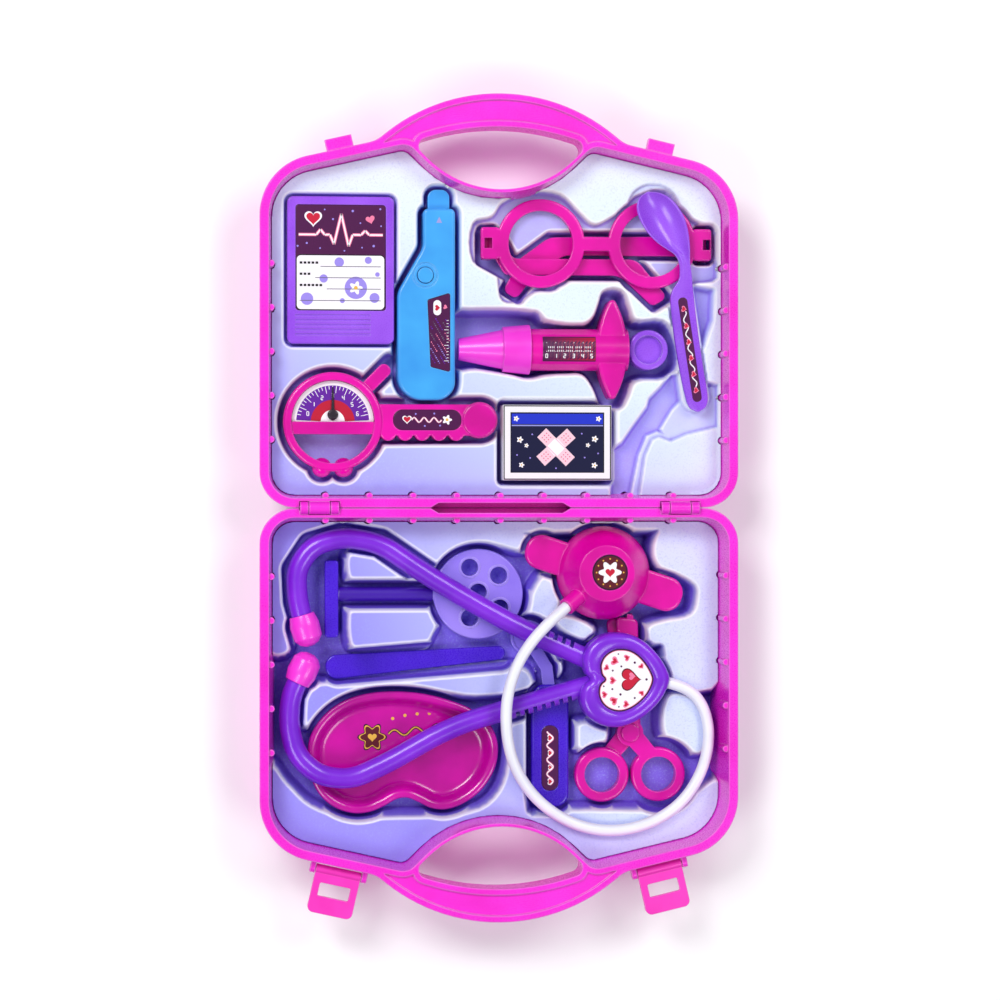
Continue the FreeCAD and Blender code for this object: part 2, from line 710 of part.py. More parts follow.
def build_case():
    """Both shells, the hinge pins, the latches and their pins."""
    half = hinge_recess(case_half())
    lid_spans = hinge_spans(-1)[0] + hinge_spans(1)[0]
    base_spans = hinge_spans(-1)[1] + hinge_spans(1)[1]
    lug_middle = 2 * HALF_DEPTH - LATCH_HEIGHT - SLOT_REACH
    lug_rise = SLOT_HEIGHT / 2 - LUG_CLEAR
    lug_half = SLOT_WIDTH / 2 - LUG_CLEAR
    lug_reach = LATCH_OFFSET + LATCH_THICK
    lug = block(-lug_half, lug_half, -WALL, lug_reach, lug_middle - lug_rise, lug_middle + lug_rise)
    lid = half.fuse([edge_frame(lug, side) for side in (-1, 1)])
    export("lid_shell", with_hinge(lid, lid_spans, base_spans, PIN_RUN))

    base = flipped(half.fuse([edge_frame(ear, side) for ear in latch_ears() for side in (-1, 1)]))
    export("base_shell", with_hinge(base, base_spans, lid_spans, PIN_SEAT))
    pins = []
    for side in (-1, 1):
        outer = hinge_spans(side)[1]
        pins.append(hinge_rod(outer[0][0], outer[1][1], PIN_RADIUS))
    export("hinge_pins", Part.Compound(pins))

    export("latch_left", flipped(edge_frame(latch(), -1)))
    export("latch_right", flipped(edge_frame(latch(), 1)))
    reach = LATCH_WIDTH / 2 + LATCH_GAP + LATCH_EAR
    ends = [Vector(sign * reach, LATCH_OFFSET, LATCH_HEIGHT) for sign in (-1, 1)]
    pin = rod(ends[0], ends[1], LATCH_PIN)
    export("latch_pins", Part.Compound([flipped(edge_frame(pin, side)) for side in (-1, 1)]))


def latch_ears():
    """Two ears on the base's front edge that hold a latch pin, in the edge's frame."""
    ears = []
    radius = LATCH_BARREL + LATCH_GAP
    for sign in (-1, 1):
        near = sign * (LATCH_WIDTH / 2 + LATCH_GAP)
        far = near + sign * LATCH_EAR
        x0, x1 = min(near, far), max(near, far)
        pivot = Vector(x0, LATCH_OFFSET, LATCH_HEIGHT)
        ear = block(x0, x1, -WALL, LATCH_OFFSET, LATCH_HEIGHT - radius, LATCH_HEIGHT + radius)
        ear = ear.fuse([rod(pivot, pivot + ALONG_X * LATCH_EAR, radius),
                        block(x0, x1, -WALL, 0, LATCH_HEIGHT, RIM_TOP - RIM_THICK)])
        hole = rod(pivot - ALONG_X * PAST, pivot + ALONG_X * (LATCH_EAR + PAST), LATCH_PIN + PIN_SEAT)
        ears.append(ear.cut(hole).removeSplitter())
    return ears


def latch():
    """Latch plate lying open outwards, with its barrel, slot and finger lip, in the edge's frame."""
    half = LATCH_WIDTH / 2
    end = LATCH_OFFSET + LATCH_LENGTH
    low = LATCH_HEIGHT - LATCH_THICK / 2
    high = LATCH_HEIGHT + LATCH_THICK / 2
    tip = [(half, end, LATCH_CORNER), (-half, end, LATCH_CORNER)]
    plan = [(-half, LATCH_OFFSET, 0), (half, LATCH_OFFSET, 0)] + tip
    lip = [(-half, end - LATCH_LIP, 0), (half, end - LATCH_LIP, 0)] + tip
    middle = LATCH_OFFSET + SLOT_REACH
    slot = rectangle(-SLOT_WIDTH / 2, SLOT_WIDTH / 2, middle - SLOT_HEIGHT / 2, middle + SLOT_HEIGHT / 2,
                     SLOT_CORNER)
    ends = [Vector(sign * half, LATCH_OFFSET, LATCH_HEIGHT) for sign in (-1, 1)]
    plate = fuse([prism(plan, low, high), prism(lip, low - LATCH_THICK / 2, high),
                  rod(ends[0], ends[1], LATCH_BARREL)])
    bore = rod(ends[0] - ALONG_X * PAST, ends[1] + ALONG_X * PAST, LATCH_PIN + PIN_RUN)
    return plate.cut([prism(slot, low - PAST, high + PAST), bore])


def lathe(profile, origin, axis):
    """Solid turned about an axis through origin; profile pairs are (along, radius)."""
    side = Vector(0, 0, 1) if abs(axis.z) < 0.5 else Vector(1, 0, 0)
    points = [origin + axis * along + side * radius for along, radius in profile]
    wire = Part.makePolygon(points + points[0:1])
    return Part.Face(wire).revolve(origin, axis, 360)


CHART_X = WEST + CHART_LEFT
CHART_TOP = LID_TRAY_TOP + PROUD
CHART_PLAN = rectangle(CHART_X, CHART_X + CHART_WIDTH, CHART_NEAR, CHART_NEAR + CHART_LENGTH, CHART_CORNER)
CHART_LABEL = rectangle(CHART_X + CHART_BORDER, CHART_X + CHART_WIDTH - CHART_BORDER, CHART_NEAR + CHART_FOOT,
                        CHART_NEAR + CHART_LENGTH - CHART_BORDER, CHART_CORNER / 2)


def build_chart():
    """Chart board with a label in a recess and a row of ribs below it."""
    board = soften(prism(CHART_PLAN, CHART_TOP - CHART_THICK, CHART_TOP), CHART_TOP, EDGE_MIDDLE)
    cuts = [recess(CHART_LABEL, CHART_TOP)]
    left = CHART_X + CHART_BORDER
    for row in range(CHART_RIBS):
        y = CHART_NEAR + CHART_BORDER + CHART_RIB_PITCH * row
        cuts.append(block(left, left + CHART_RIB_LENGTH, y, y + CHART_RIB_WIDTH,
                          CHART_TOP - CHART_RIB_DEPTH, CHART_TOP + PAST))
    export("chart_board", board.cut(cuts))
    export("chart_label", label(CHART_LABEL, CHART_TOP))


THERMO_TOP = LID_TRAY_TOP + THERMO_PROUD
THERMO_PART = THERMO_TOP - THERMO_FRONT
THERMO_BOTTOM = THERMO_PART - THERMO_BACK
THERMO_END = THERMO_NEAR + THERMO_LENGTH
THERMO_PLAN = [(THERMO_RIGHT - THERMO_WIDTH, THERMO_NEAR, 12.0),
               (THERMO_RIGHT, THERMO_NEAR, 9.0),
               (THERMO_RIGHT, THERMO_END, 2.5),
               (THERMO_RIGHT - THERMO_NECK, THERMO_END, 2.5),
               (THERMO_RIGHT - THERMO_NECK, THERMO_END - THERMO_NECK_LENGTH, 10.0),
               (THERMO_RIGHT - THERMO_WIDTH, THERMO_END - THERMO_NECK_LENGTH - THERMO_SLOPE, 12.0)]
PROBE_X = THERMO_RIGHT - THERMO_NECK / 2
PROBE_PLAN = [(PROBE_X - PROBE_WIDTH / 2, THERMO_END - PROBE_TONGUE, 0.5),
              (PROBE_X + PROBE_WIDTH / 2, THERMO_END - PROBE_TONGUE, 0.5),
              (PROBE_X + PROBE_WIDTH / 2, THERMO_END + PROBE_LENGTH, 4.0),
              (PROBE_X - PROBE_WIDTH / 2, THERMO_END + PROBE_LENGTH, 4.0)]
WINDOW_PLAN = around(THERMO_RIGHT, THERMO_NEAR, WINDOW_OUTLINE)


def build_thermometer():
    """Two hollow shells with a probe in the neck, a button and a label in a window."""
    x = THERMO_RIGHT - BUTTON_X
    y = THERMO_END - BUTTON_Y
    wall = THERMO_TOP - SHELL
    probe_low = THERMO_PART - PROBE_THICK / 2
    probe_high = THERMO_PART + PROBE_THICK / 2
    socket = prism(PROBE_PLAN, probe_low, probe_high, PIN_SEAT)
    inner = BUTTON_RADIUS + BUTTON_GROOVE
    groove = post(x, y, inner + BUTTON_GROOVE_WIDTH, THERMO_TOP - BUTTON_GROOVE_DEPTH, THERMO_TOP + PAST)
    groove = groove.cut(post(x, y, inner, 0, HALF_DEPTH))
    front = soften(prism(THERMO_PLAN, THERMO_PART, THERMO_TOP), THERMO_TOP, EDGE_LARGE)
    front = front.cut([prism(THERMO_PLAN, THERMO_PART, wall, -SHELL), socket, recess(WINDOW_PLAN, THERMO_TOP),
                       post(x, y, BUTTON_RADIUS + BUTTON_PLAY, wall - PAST, THERMO_TOP + PAST), groove])
    export("thermometer_front_shell", front)

    back = soften(prism(THERMO_PLAN, THERMO_BOTTOM, THERMO_PART), THERMO_BOTTOM, EDGE_LARGE)
    back = back.cut([prism(THERMO_PLAN, THERMO_BOTTOM + SHELL, THERMO_PART, -SHELL), socket])
    flange_top = wall - SEAT
    flange_low = flange_top - BUTTON_FLANGE
    boss = post(x, y, BUTTON_BOSS, THERMO_BOTTOM, flange_low - BUTTON_TRAVEL - SEAT)
    export("thermometer_back_shell", back.fuse(boss))

    export("thermometer_probe", prism(PROBE_PLAN, probe_low, probe_high))
    button_top = THERMO_TOP + BUTTON_PROUD
    cap = soften(post(x, y, BUTTON_RADIUS, flange_low, button_top), button_top, EDGE_TINY)
    flange = post(x, y, BUTTON_RADIUS + BUTTON_FLANGE, flange_low, flange_top)
    export("thermometer_button", fuse([cap, flange]))
    export("thermometer_label", label(WINDOW_PLAN, THERMO_TOP))


FRAME_TOP = LID_TRAY_TOP - FRAME_DROP
FRAME_BOTTOM = FRAME_TOP - FRAME_THICK
LENS_R = EAST - LENS_RIGHT
LENS_L = LENS_R - LENS_PITCH
AXIS_L = LENS_L - TEMPLE_AXIS
AXIS_R = LENS_R + TEMPLE_AXIS
LEFT_TEMPLE_TOP = FRAME_BOTTOM - 3 * TEMPLE_GAP
LEFT_AXIS_Z = LEFT_TEMPLE_TOP - TEMPLE_THICK / 2
RIGHT_TEMPLE_TOP = LEFT_TEMPLE_TOP - TEMPLE_THICK - TEMPLE_GAP
RIGHT_AXIS_Z = RIGHT_TEMPLE_TOP - TEMPLE_THICK / 2
BARREL_LOW = LENS_MIDDLE - LUG_HALF + TEMPLE_EAR + SEAT
BARREL_HIGH = LENS_MIDDLE + LUG_HALF - TEMPLE_EAR - SEAT
GLASSES_FLOOR = RIGHT_AXIS_Z - TEMPLE_BARREL - 2 * SEAT

LEFT_TEMPLE = ([(AXIS_L, BARREL_LOW, 0), (AXIS_L + ROOT_LOW, BARREL_LOW, 0)] +
               around(LENS_L, LENS_MIDDLE, LEFT_ROOT[:1]) + around(LENS_R, LENS_MIDDLE, LEFT_HOOK) +
               around(LENS_L, LENS_MIDDLE, LEFT_ROOT[1:]) +
               [(AXIS_L + ROOT_HIGH, BARREL_HIGH, 0), (AXIS_L, BARREL_HIGH, 0)])
RIGHT_TEMPLE = ([(AXIS_R, BARREL_LOW, 0), (AXIS_R, BARREL_HIGH, 0),
                 (LENS_L + RIGHT_BEND_HIGH, BARREL_HIGH - RIGHT_TAPER, 10.0)] +
                around(LENS_L, LENS_MIDDLE, RIGHT_HOOK) + [(LENS_L + RIGHT_BEND_LOW, BARREL_LOW, 8.0)])


def lug_plan(side):
    """Plan of the block at one end of the glasses front."""
    lens = LENS_R if side > 0 else LENS_L
    ends = sorted((lens + side * (LENS_OUTER - 1.5), lens + side * LUG_REACH))
    return rectangle(ends[0], ends[1], LENS_MIDDLE - LUG_HALF, LENS_MIDDLE + LUG_HALF, 1.5)


def glasses_plans():
    """Plans of the glasses front, for the frame and for its pocket."""
    bridge = rectangle(LENS_L + LENS_INNER + 1, LENS_R - LENS_INNER - 1, LENS_MIDDLE - BRIDGE / 2,
                       LENS_MIDDLE + BRIDGE / 2, 1.0)
    return [disc(LENS_L, LENS_MIDDLE, LENS_OUTER), disc(LENS_R, LENS_MIDDLE, LENS_OUTER), bridge,
            lug_plan(-1), lug_plan(1)]


def temple_pin(x, z, radius, ends):
    """Cylinder on one temple's hinge axis."""
    return rod(Vector(x, LENS_MIDDLE - ends, z), Vector(x, LENS_MIDDLE + ends, z), radius)


def build_glasses():
    """Round play glasses lying on their folded temples."""
    holes = []
    ears = []
    pins = []
    for side, x, z in ((-1, AXIS_L, LEFT_AXIS_Z), (1, AXIS_R, RIGHT_AXIS_Z)):
        lens = LENS_R if side > 0 else LENS_L
        holes.append(post(lens, LENS_MIDDLE, LENS_INNER, 0, HALF_DEPTH))
        holes.append(block(x - LUG_WINDOW / 2, x + LUG_WINDOW, LENS_MIDDLE - LUG_WINDOW,
                           LENS_MIDDLE + LUG_WINDOW, FRAME_BOTTOM, HALF_DEPTH))
        for sign in (-1, 1):
            outer = LENS_MIDDLE + sign * LUG_HALF
            inner = outer - sign * TEMPLE_EAR
            low, high = min(outer, inner), max(outer, inner)
            ear = block(x - TEMPLE_BARREL, x + TEMPLE_BARREL, low, high, z, FRAME_BOTTOM)
            ears.append(ear.fuse(rod(Vector(x, low, z), Vector(x, high, z), TEMPLE_BARREL)))
        holes.append(temple_pin(x, z, TEMPLE_PIN + PIN_SEAT, LUG_HALF + PAST))
        pins.append(temple_pin(x, z, TEMPLE_PIN, LUG_HALF))
    front = soften(prisms(glasses_plans(), FRAME_BOTTOM, FRAME_TOP), FRAME_TOP, EDGE_MIDDLE)
    export("glasses_front", fuse([front] + ears).cut(holes))
    export("glasses_hinge_pins", Part.Compound(pins))
    for name, plan, x, z in (("glasses_temple_left", LEFT_TEMPLE, AXIS_L, LEFT_AXIS_Z),
                             ("glasses_temple_right", RIGHT_TEMPLE, AXIS_R, RIGHT_AXIS_Z)):
        barrel = rod(Vector(x, BARREL_LOW, z), Vector(x, BARREL_HIGH, z), TEMPLE_BARREL)
        arm = prism(plan, z - TEMPLE_THICK / 2, z + TEMPLE_THICK / 2).fuse(barrel).removeSplitter()
        export(name, arm.cut(temple_pin(x, z, TEMPLE_PIN + PIN_RUN, LUG_HALF + PAST)))


SPOON_BOTTOM = FRAME_TOP + SEAT
BOWL = Vector(EAST - BOWL_X, BOWL_Y, SPOON_BOTTOM + BOWL_ROUND)
BOWL_ALONG = Vector(math.cos(math.radians(BOWL_ANGLE)), math.sin(math.radians(BOWL_ANGLE)), 0)
NECK = BOWL - BOWL_ALONG * (BOWL_LONG - 1.0)
SPOON_HANDLE = strip(NECK.x, NECK.y, SPOON_NECK, EAST - SPOON_END_X, SPOON_END_Y, SPOON_WIDTH)
SPOON_BOWL = strip(BOWL.x - 8 * BOWL_ALONG.x, BOWL.y - 8 * BOWL_ALONG.y, 2 * BOWL_ROUND,
                   BOWL.x + 8 * BOWL_ALONG.x, BOWL.y + 8 * BOWL_ALONG.y, 2 * BOWL_ROUND)


def spheroid(long_radius, round_radius):
    """Solid egg form on the bowl's axis."""
    normal = Vector(0, 0, 1)
    ellipse = Part.Ellipse(BOWL + BOWL_ALONG * long_radius, BOWL + normal * round_radius, BOWL)
    half = Part.ArcOfEllipse(ellipse, 0, math.pi).toShape()
    ends = [vertex.Point for vertex in half.Vertexes]
    face = Part.Face(Part.Wire([half, Part.LineSegment(ends[1], ends[0]).toShape()]))
    return face.revolve(BOWL, BOWL_ALONG, 360)


def build_spoon():
    """Medicine spoon: the low cap of an egg form, hollowed, on a flat handle."""
    rim = SPOON_BOTTOM + BOWL_DEPTH
    keep = block(BOWL.x - 40, BOWL.x + 40, BOWL.y - 40, BOWL.y + 40, SPOON_BOTTOM - 5, rim)
    bowl = spheroid(BOWL_LONG, BOWL_ROUND).common(keep)
    inner = spheroid(BOWL_LONG - SPOON_WALL, BOWL_ROUND - SPOON_WALL)
    top = SPOON_BOTTOM + SPOON_THICK
    neck = strip(NECK.x, NECK.y, SPOON_NECK, NECK.x + 3 * BOWL_ALONG.x, NECK.y + 3 * BOWL_ALONG.y, SPOON_NECK)
    handle = prism(SPOON_HANDLE, SPOON_BOTTOM, top).fuse(prism(neck, SPOON_BOTTOM, rim)).cut(inner)
    end = Vector(EAST - SPOON_END_X, SPOON_END_Y, 0)
    along = Vector(NECK.x, NECK.y, 0).sub(end)
    start = end + along * SPOON_SLOT_SHARE
    slot = strip(end.x, end.y, SPOON_SLOT, start.x, start.y, SPOON_SLOT)
    spoon = handle.fuse(bowl.cut(inner)).removeSplitter()
    export("spoon", spoon.cut(recess(slot, top)))
    export("spoon_label", label(slot, top))


SYRINGE = Vector(SYRINGE_TIP, SYRINGE_Y, LID_TRAY_TOP - SYRINGE_DROP)
BARREL_START = NOZZLE_CONE + COLLAR
BARREL_END = BARREL_START + BARREL_LENGTH
FLANGE_X = SYRINGE_TIP + BARREL_END - FLANGE_FROM_END
THUMB_FROM_END = THUMB_RADIUS + THUMB_GAP
THUMB_X = SYRINGE_TIP + BARREL_END + THUMB_FROM_END
FLANGE_CORNER, FLANGE_RADIUS, _ = arch(FLANGE_HALF, FLANGE_RISE, FLANGE_RUN)
FLANGE_PLAN = [(FLANGE_X, SYRINGE_Y - FLANGE_HALF, 2.0), (FLANGE_X + FLANGE_CORNER, SYRINGE_Y, FLANGE_RADIUS),
               (FLANGE_X, SYRINGE_Y + FLANGE_HALF, 2.0), (FLANGE_X - FLANGE_CORNER, SYRINGE_Y, FLANGE_RADIUS)]
NOZZLE_PLAN = [(SYRINGE_TIP, SYRINGE_Y - NOZZLE_TIP_RADIUS, 1.0),
               (SYRINGE_TIP + NOZZLE_CONE, SYRINGE_Y - COLLAR_RADIUS, 2.0),
               (SYRINGE_TIP + BARREL_START, SYRINGE_Y - COLLAR_RADIUS, 1.0),
               (SYRINGE_TIP + BARREL_START, SYRINGE_Y + COLLAR_RADIUS, 1.0),
               (SYRINGE_TIP + NOZZLE_CONE, SYRINGE_Y + COLLAR_RADIUS, 2.0),
               (SYRINGE_TIP, SYRINGE_Y + NOZZLE_TIP_RADIUS, 1.0)]
BARREL_PLAN = rectangle(SYRINGE_TIP + BARREL_START - PAST, SYRINGE_TIP + BARREL_END,
                        SYRINGE_Y - BARREL_RADIUS, SYRINGE_Y + BARREL_RADIUS, 0.0)
THUMB_PLAN = strip(THUMB_X - THUMB_ROOM, SYRINGE_Y, 2 * THUMB_RADIUS, THUMB_X + THUMB_ROOM, SYRINGE_Y,
                   2 * THUMB_RADIUS)


def build_syringe():
    """Toy syringe along X: nozzle cone, barrel with a finger flange, plunger with its seal."""
    nozzle = lathe([(0, 0), (0, NOZZLE_TIP_RADIUS), (NOZZLE_CONE, NOZZLE_CONE_RADIUS),
                    (NOZZLE_CONE, COLLAR_RADIUS - COLLAR_TAPER), (BARREL_START, COLLAR_RADIUS),
                    (BARREL_START, BORE_RADIUS - PIN_SEAT), (BARREL_START + SPIGOT, BORE_RADIUS - PIN_SEAT),
                    (BARREL_START + SPIGOT, 0)], SYRINGE, ALONG_X)
    open_end = BARREL_START + SPIGOT + PAST
    hollow = lathe([(SHELL, 0), (SHELL, NOZZLE_TIP_RADIUS - SHELL), (open_end, BORE_RADIUS - SHELL),
                    (open_end, 0)], SYRINGE, ALONG_X)
    export("syringe_nozzle", nozzle.cut(hollow))

    barrel = rod(SYRINGE + ALONG_X * BARREL_START, SYRINGE + ALONG_X * BARREL_END, BARREL_RADIUS)
    flange_low = SYRINGE.z - FLANGE_DEPTH
    flange_top = SYRINGE.z + FLANGE_DEPTH
    flange = soften(prism(FLANGE_PLAN, flange_low, flange_top), flange_top, EDGE_LARGE)
    flange = soften(flange, flange_low, EDGE_LARGE)
    bore = rod(SYRINGE, SYRINGE + ALONG_X * (BARREL_END + FLANGE_FROM_END), BORE_RADIUS)
    export("syringe_barrel", fuse([barrel, flange]).cut(bore))

    scale_low = BARREL_RADIUS + PIN_SEAT
    scale_top = scale_low + SCALE_THICK
    scale_start = BARREL_START + SPIGOT + SHELL
    scale_end = BARREL_END - FLANGE_FROM_END - FLANGE_RISE - PAST
    sleeve = lathe([(scale_start, scale_low), (scale_start, scale_top), (scale_end, scale_top),
                    (scale_end, scale_low)], SYRINGE, ALONG_X)
    patch = block(SYRINGE_TIP, THUMB_X, SYRINGE_Y - SCALE_HALF, SYRINGE_Y + SCALE_HALF, SYRINGE.z, HALF_DEPTH)
    export("syringe_scale_label", sleeve.common(patch))

    seal_start = BARREL_START + SPIGOT + PAST
    seal = BORE_RADIUS - SEAL_RUN
    rod_start = seal_start + SEAL_LENGTH
    seal_x = SYRINGE + ALONG_X * seal_start
    export("syringe_plunger_seal", rod(seal_x, seal_x + ALONG_X * SEAL_LENGTH, seal))
    shaft = rod(SYRINGE + ALONG_X * rod_start, SYRINGE + ALONG_X * (BARREL_END + THUMB_FROM_END), PLUNGER_ROD)
    guides = [rod(SYRINGE + ALONG_X * x, SYRINGE + ALONG_X * (x + GUIDE), BORE_RADIUS - GUIDE_CLEAR)
              for x in (rod_start, BARREL_END - 2 * GUIDE)]
    thumb_top = SYRINGE.z + THUMB_HALF
    thumb = post(THUMB_X, SYRINGE_Y, THUMB_RADIUS, SYRINGE.z - THUMB_HALF, thumb_top)
    thumb = soften(thumb, thumb_top, EDGE_MIDDLE)
    dish = post(THUMB_X, SYRINGE_Y, THUMB_RECESS, thumb_top - THUMB_DISH, HALF_DEPTH)
    export("syringe_plunger", fuse([shaft, thumb] + guides).cut(dish))


GAUGE_X = WEST + GAUGE_LEFT
GAUGE_TOP = LID_TRAY_TOP + PROUD
GAUGE_PART = GAUGE_TOP - GAUGE_DEPTH
GAUGE_FLOOR = GAUGE_PART - GAUGE_COVER - SEAT
DIAL_RADIUS = GAUGE_RADIUS - GAUGE_RING
DIAL_TOP = GAUGE_TOP - DIAL_DROP
NEEDLE_Y = GAUGE_Y + NEEDLE_HUB + NEEDLE_RISE
STUB = Vector(math.cos(math.radians(STUB_ANGLE)), math.sin(math.radians(STUB_ANGLE)), 0)
BALL_Y = GAUGE_Y - GAUGE_RADIUS + BALL_SINK
BALLS_X = [GAUGE_X + sign * (BALL_RADIUS + BALL_GAP) for sign in (-1, 1)]


def grip_plans():
    """Plans of the gauge's handle: a bar with a scalloped lower edge and a round knob."""
    left = GAUGE_X + DIAL_RADIUS + PAST
    plans = [rectangle(left, GRIP_END, GAUGE_Y - GRIP_HALF + GRIP_FOOT, GAUGE_Y + GRIP_HALF, EDGE_MIDDLE),
             disc(GRIP_END, GAUGE_Y + GRIP_SHIFT, KNOB_RADIUS)]
    pitch = (GRIP_END - KNOB_RADIUS - left) / SCALLOPS
    for step in range(SCALLOPS):
        plans.append(disc(left + pitch * (step + SCALLOP_START), GAUGE_Y - GRIP_HALF + SCALLOP_RISE,
                          pitch * SCALLOP_SHARE))
    return plans


def stub_plan():
    """Plan of the short rod at the ring's upper right."""
    start = Vector(GAUGE_X, GAUGE_Y, 0) + STUB * (GAUGE_RADIUS - BALL_SINK)
    end = start + STUB * STUB_LENGTH
    return strip(start.x, start.y, 2 * STUB_RADIUS, end.x, end.y, 2 * STUB_RADIUS)


def upper_half(radius, bottom, top):
    """Half disc above the gauge's cross bar."""
    return post(GAUGE_X, GAUGE_Y, radius, bottom, top).common(
        block(GAUGE_X - radius, GAUGE_X + radius, GAUGE_Y, GAUGE_Y + radius, bottom, top))


def build_gauge():
    """Dial gauge: ring with a half-moon dial, cross bar and handle, a cover behind and a needle."""
    ring = post(GAUGE_X, GAUGE_Y, GAUGE_RADIUS, GAUGE_PART, GAUGE_TOP)
    ring = soften(ring, GAUGE_TOP, EDGE_LARGE).cut(post(GAUGE_X, GAUGE_Y, DIAL_RADIUS, 0, HALF_DEPTH))
    dial_low = DIAL_TOP - DIAL_THICK
    plate_low = dial_low - GAUGE_PLATE
    plate = upper_half(DIAL_RADIUS + PAST, plate_low, dial_low)
    bar = block(GAUGE_X - DIAL_RADIUS - PAST, GAUGE_X + DIAL_RADIUS + PAST, GAUGE_Y - GAUGE_BAR, GAUGE_Y,
                GAUGE_PART, GAUGE_TOP - GAUGE_BAR_DROP)
    grip_top = GAUGE_TOP - GRIP_DROP
    grip = soften(prisms(grip_plans(), GAUGE_PART, grip_top), grip_top, EDGE_SMALL)
    knob_top = grip_top + KNOB_RISE
    knob = post(GRIP_END, GAUGE_Y + GRIP_SHIFT, KNOB_RADIUS - KNOB_STEP, GAUGE_PART, knob_top)
    knob = soften(knob, knob_top, EDGE_SMALL)
    balls = [Part.makeSphere(BALL_RADIUS, Vector(x, BALL_Y, GAUGE_PART + BALL_RADIUS)) for x in BALLS_X]
    stub = prism(stub_plan(), GAUGE_PART, GAUGE_PART + 2 * STUB_RADIUS)
    oval = strip(GRIP_END - KNOB_RADIUS - GRIP_LABEL / 2, GAUGE_Y + GRIP_SHIFT, GRIP_LABEL,
                 GAUGE_X + GAUGE_RADIUS + GRIP_LABEL, GAUGE_Y + GRIP_SHIFT, GRIP_LABEL)
    hollow = rectangle(GAUGE_X + GAUGE_RADIUS + SHELL, GRIP_END, GAUGE_Y - GRIP_HALF + GRIP_FOOT + SHELL,
                       GAUGE_Y + GRIP_HALF - SHELL, EDGE_MIDDLE)
    body = fuse([ring, plate, bar, grip, knob, stub] + balls)
    export("gauge_body", body.cut([recess(oval, grip_top), prism(hollow, GAUGE_PART, grip_top - 2 * SHELL),
                                   post(GAUGE_X, NEEDLE_Y, PIVOT_RADIUS + PIN_SEAT, GAUGE_PART, GAUGE_TOP)]))
    export("gauge_handle_label", label(oval, grip_top))

    cover_low = GAUGE_PART - GAUGE_COVER
    cover = fuse([upper_half(GAUGE_RADIUS, cover_low, GAUGE_PART),
                  block(GAUGE_X - DIAL_RADIUS, GAUGE_X + DIAL_RADIUS, GAUGE_Y - GAUGE_BAR, GAUGE_Y,
                        cover_low, GAUGE_PART),
                  prisms(grip_plans(), cover_low, GAUGE_PART)])
    export("gauge_back_cover", cover)
    hub_hole = post(GAUGE_X, NEEDLE_Y, PIVOT_RADIUS + PIN_SEAT, 0, HALF_DEPTH)
    export("gauge_dial", upper_half(DIAL_RADIUS - LABEL_GAP, dial_low, DIAL_TOP).cut(hub_hole))
    low = DIAL_TOP + SEAT
    top = low + NEEDLE_THICK
    pointer = [(GAUGE_X - NEEDLE_ROOT, NEEDLE_Y, 0), (GAUGE_X + NEEDLE_ROOT, NEEDLE_Y, 0),
               (GAUGE_X + NEEDLE_TIP, NEEDLE_Y + NEEDLE_LENGTH, 0),
               (GAUGE_X - NEEDLE_TIP, NEEDLE_Y + NEEDLE_LENGTH, 0)]
    needle = fuse([post(GAUGE_X, NEEDLE_Y, NEEDLE_HUB, low, top), prism(pointer, low, top)])
    export("gauge_needle", needle.cut(post(GAUGE_X, NEEDLE_Y, PIVOT_RADIUS + PIN_RUN, 0, HALF_DEPTH)))
    cap_low = top + SEAT
    cap_top = cap_low + PIVOT_CAP
    cap = soften(post(GAUGE_X, NEEDLE_Y, NEEDLE_HUB - EDGE_TINY, cap_low, cap_top), cap_top, EDGE_TINY)
    export("gauge_needle_pivot", fuse([post(GAUGE_X, NEEDLE_Y, PIVOT_RADIUS, plate_low, cap_low), cap]))


BOX_PLAN = rectangle(BOX_LEFT, BOX_LEFT + BOX_WIDTH, BOX_NEAR, BOX_NEAR + BOX_LENGTH, 0.0)
BOX_TOP = LID_TRAY_TOP + BOX_PROUD


def build_bandage_box():
    """Hollow folded carton."""
    bottom = BOX_TOP - BOX_THICK
    carton = prism(BOX_PLAN, bottom, BOX_TOP)
    carton = carton.makeFillet(EDGE_TINY, carton.Edges)
    export("bandage_box", carton.cut(prism(BOX_PLAN, bottom + CARTON, BOX_TOP - CARTON, -CARTON)))


def route(points):
    """Wire of straight runs joined by tangent arcs, each as large as its runs allow, and its radii."""
    edges = []
    radii = []
    last = points[0]
    for i in range(1, len(points) - 1):
        corner = points[i]
        back = points[i - 1].sub(corner)
        ahead = points[i + 1].sub(corner)
        reach = 0.45 * min(back.Length, ahead.Length)
        back.normalize()
        ahead.normalize()
        half = math.acos(back.dot(ahead)) / 2
        radius = reach * math.tan(half)
        start = corner + back * reach
        end = corner + ahead * reach
        inward = (back + ahead).normalize()
        middle = corner + inward * (radius / math.sin(half) - radius)
        edges.append(Part.LineSegment(last, start).toShape())
        edges.append(Part.Arc(start, middle, end).toShape())
        radii.append(round(radius, 1))
        last = end
    edges.append(Part.LineSegment(last, points[-1]).toShape())
    return Part.Wire(edges), radii


def tube(points, radius):
    """Round bar along a route."""
    path, _ = route(points)
    along = points[1].sub(points[0])
    section = Part.Wire(Part.Circle(points[0], along, radius).toShape())
    return path.makePipeShell([section], True, False)


def lifted(points, z):
    """Plan points as vectors at one height."""
    return [Vector(x, y, z) for x, y in points]


UPPER = lifted(UPPER_ARM, ARM_Z)
LOWER = lifted(LOWER_ARM, ARM_Z)
HOSE = [Vector(x, y, z) for x, y, z in HOSE_ROUTE]
HEART_PLAN = around(HEART_X, HEART_Y, HEART_OUTLINE)
EAR_TIP_FLOOR = ARM_Z - EAR_TIP_RADIUS - SEAT


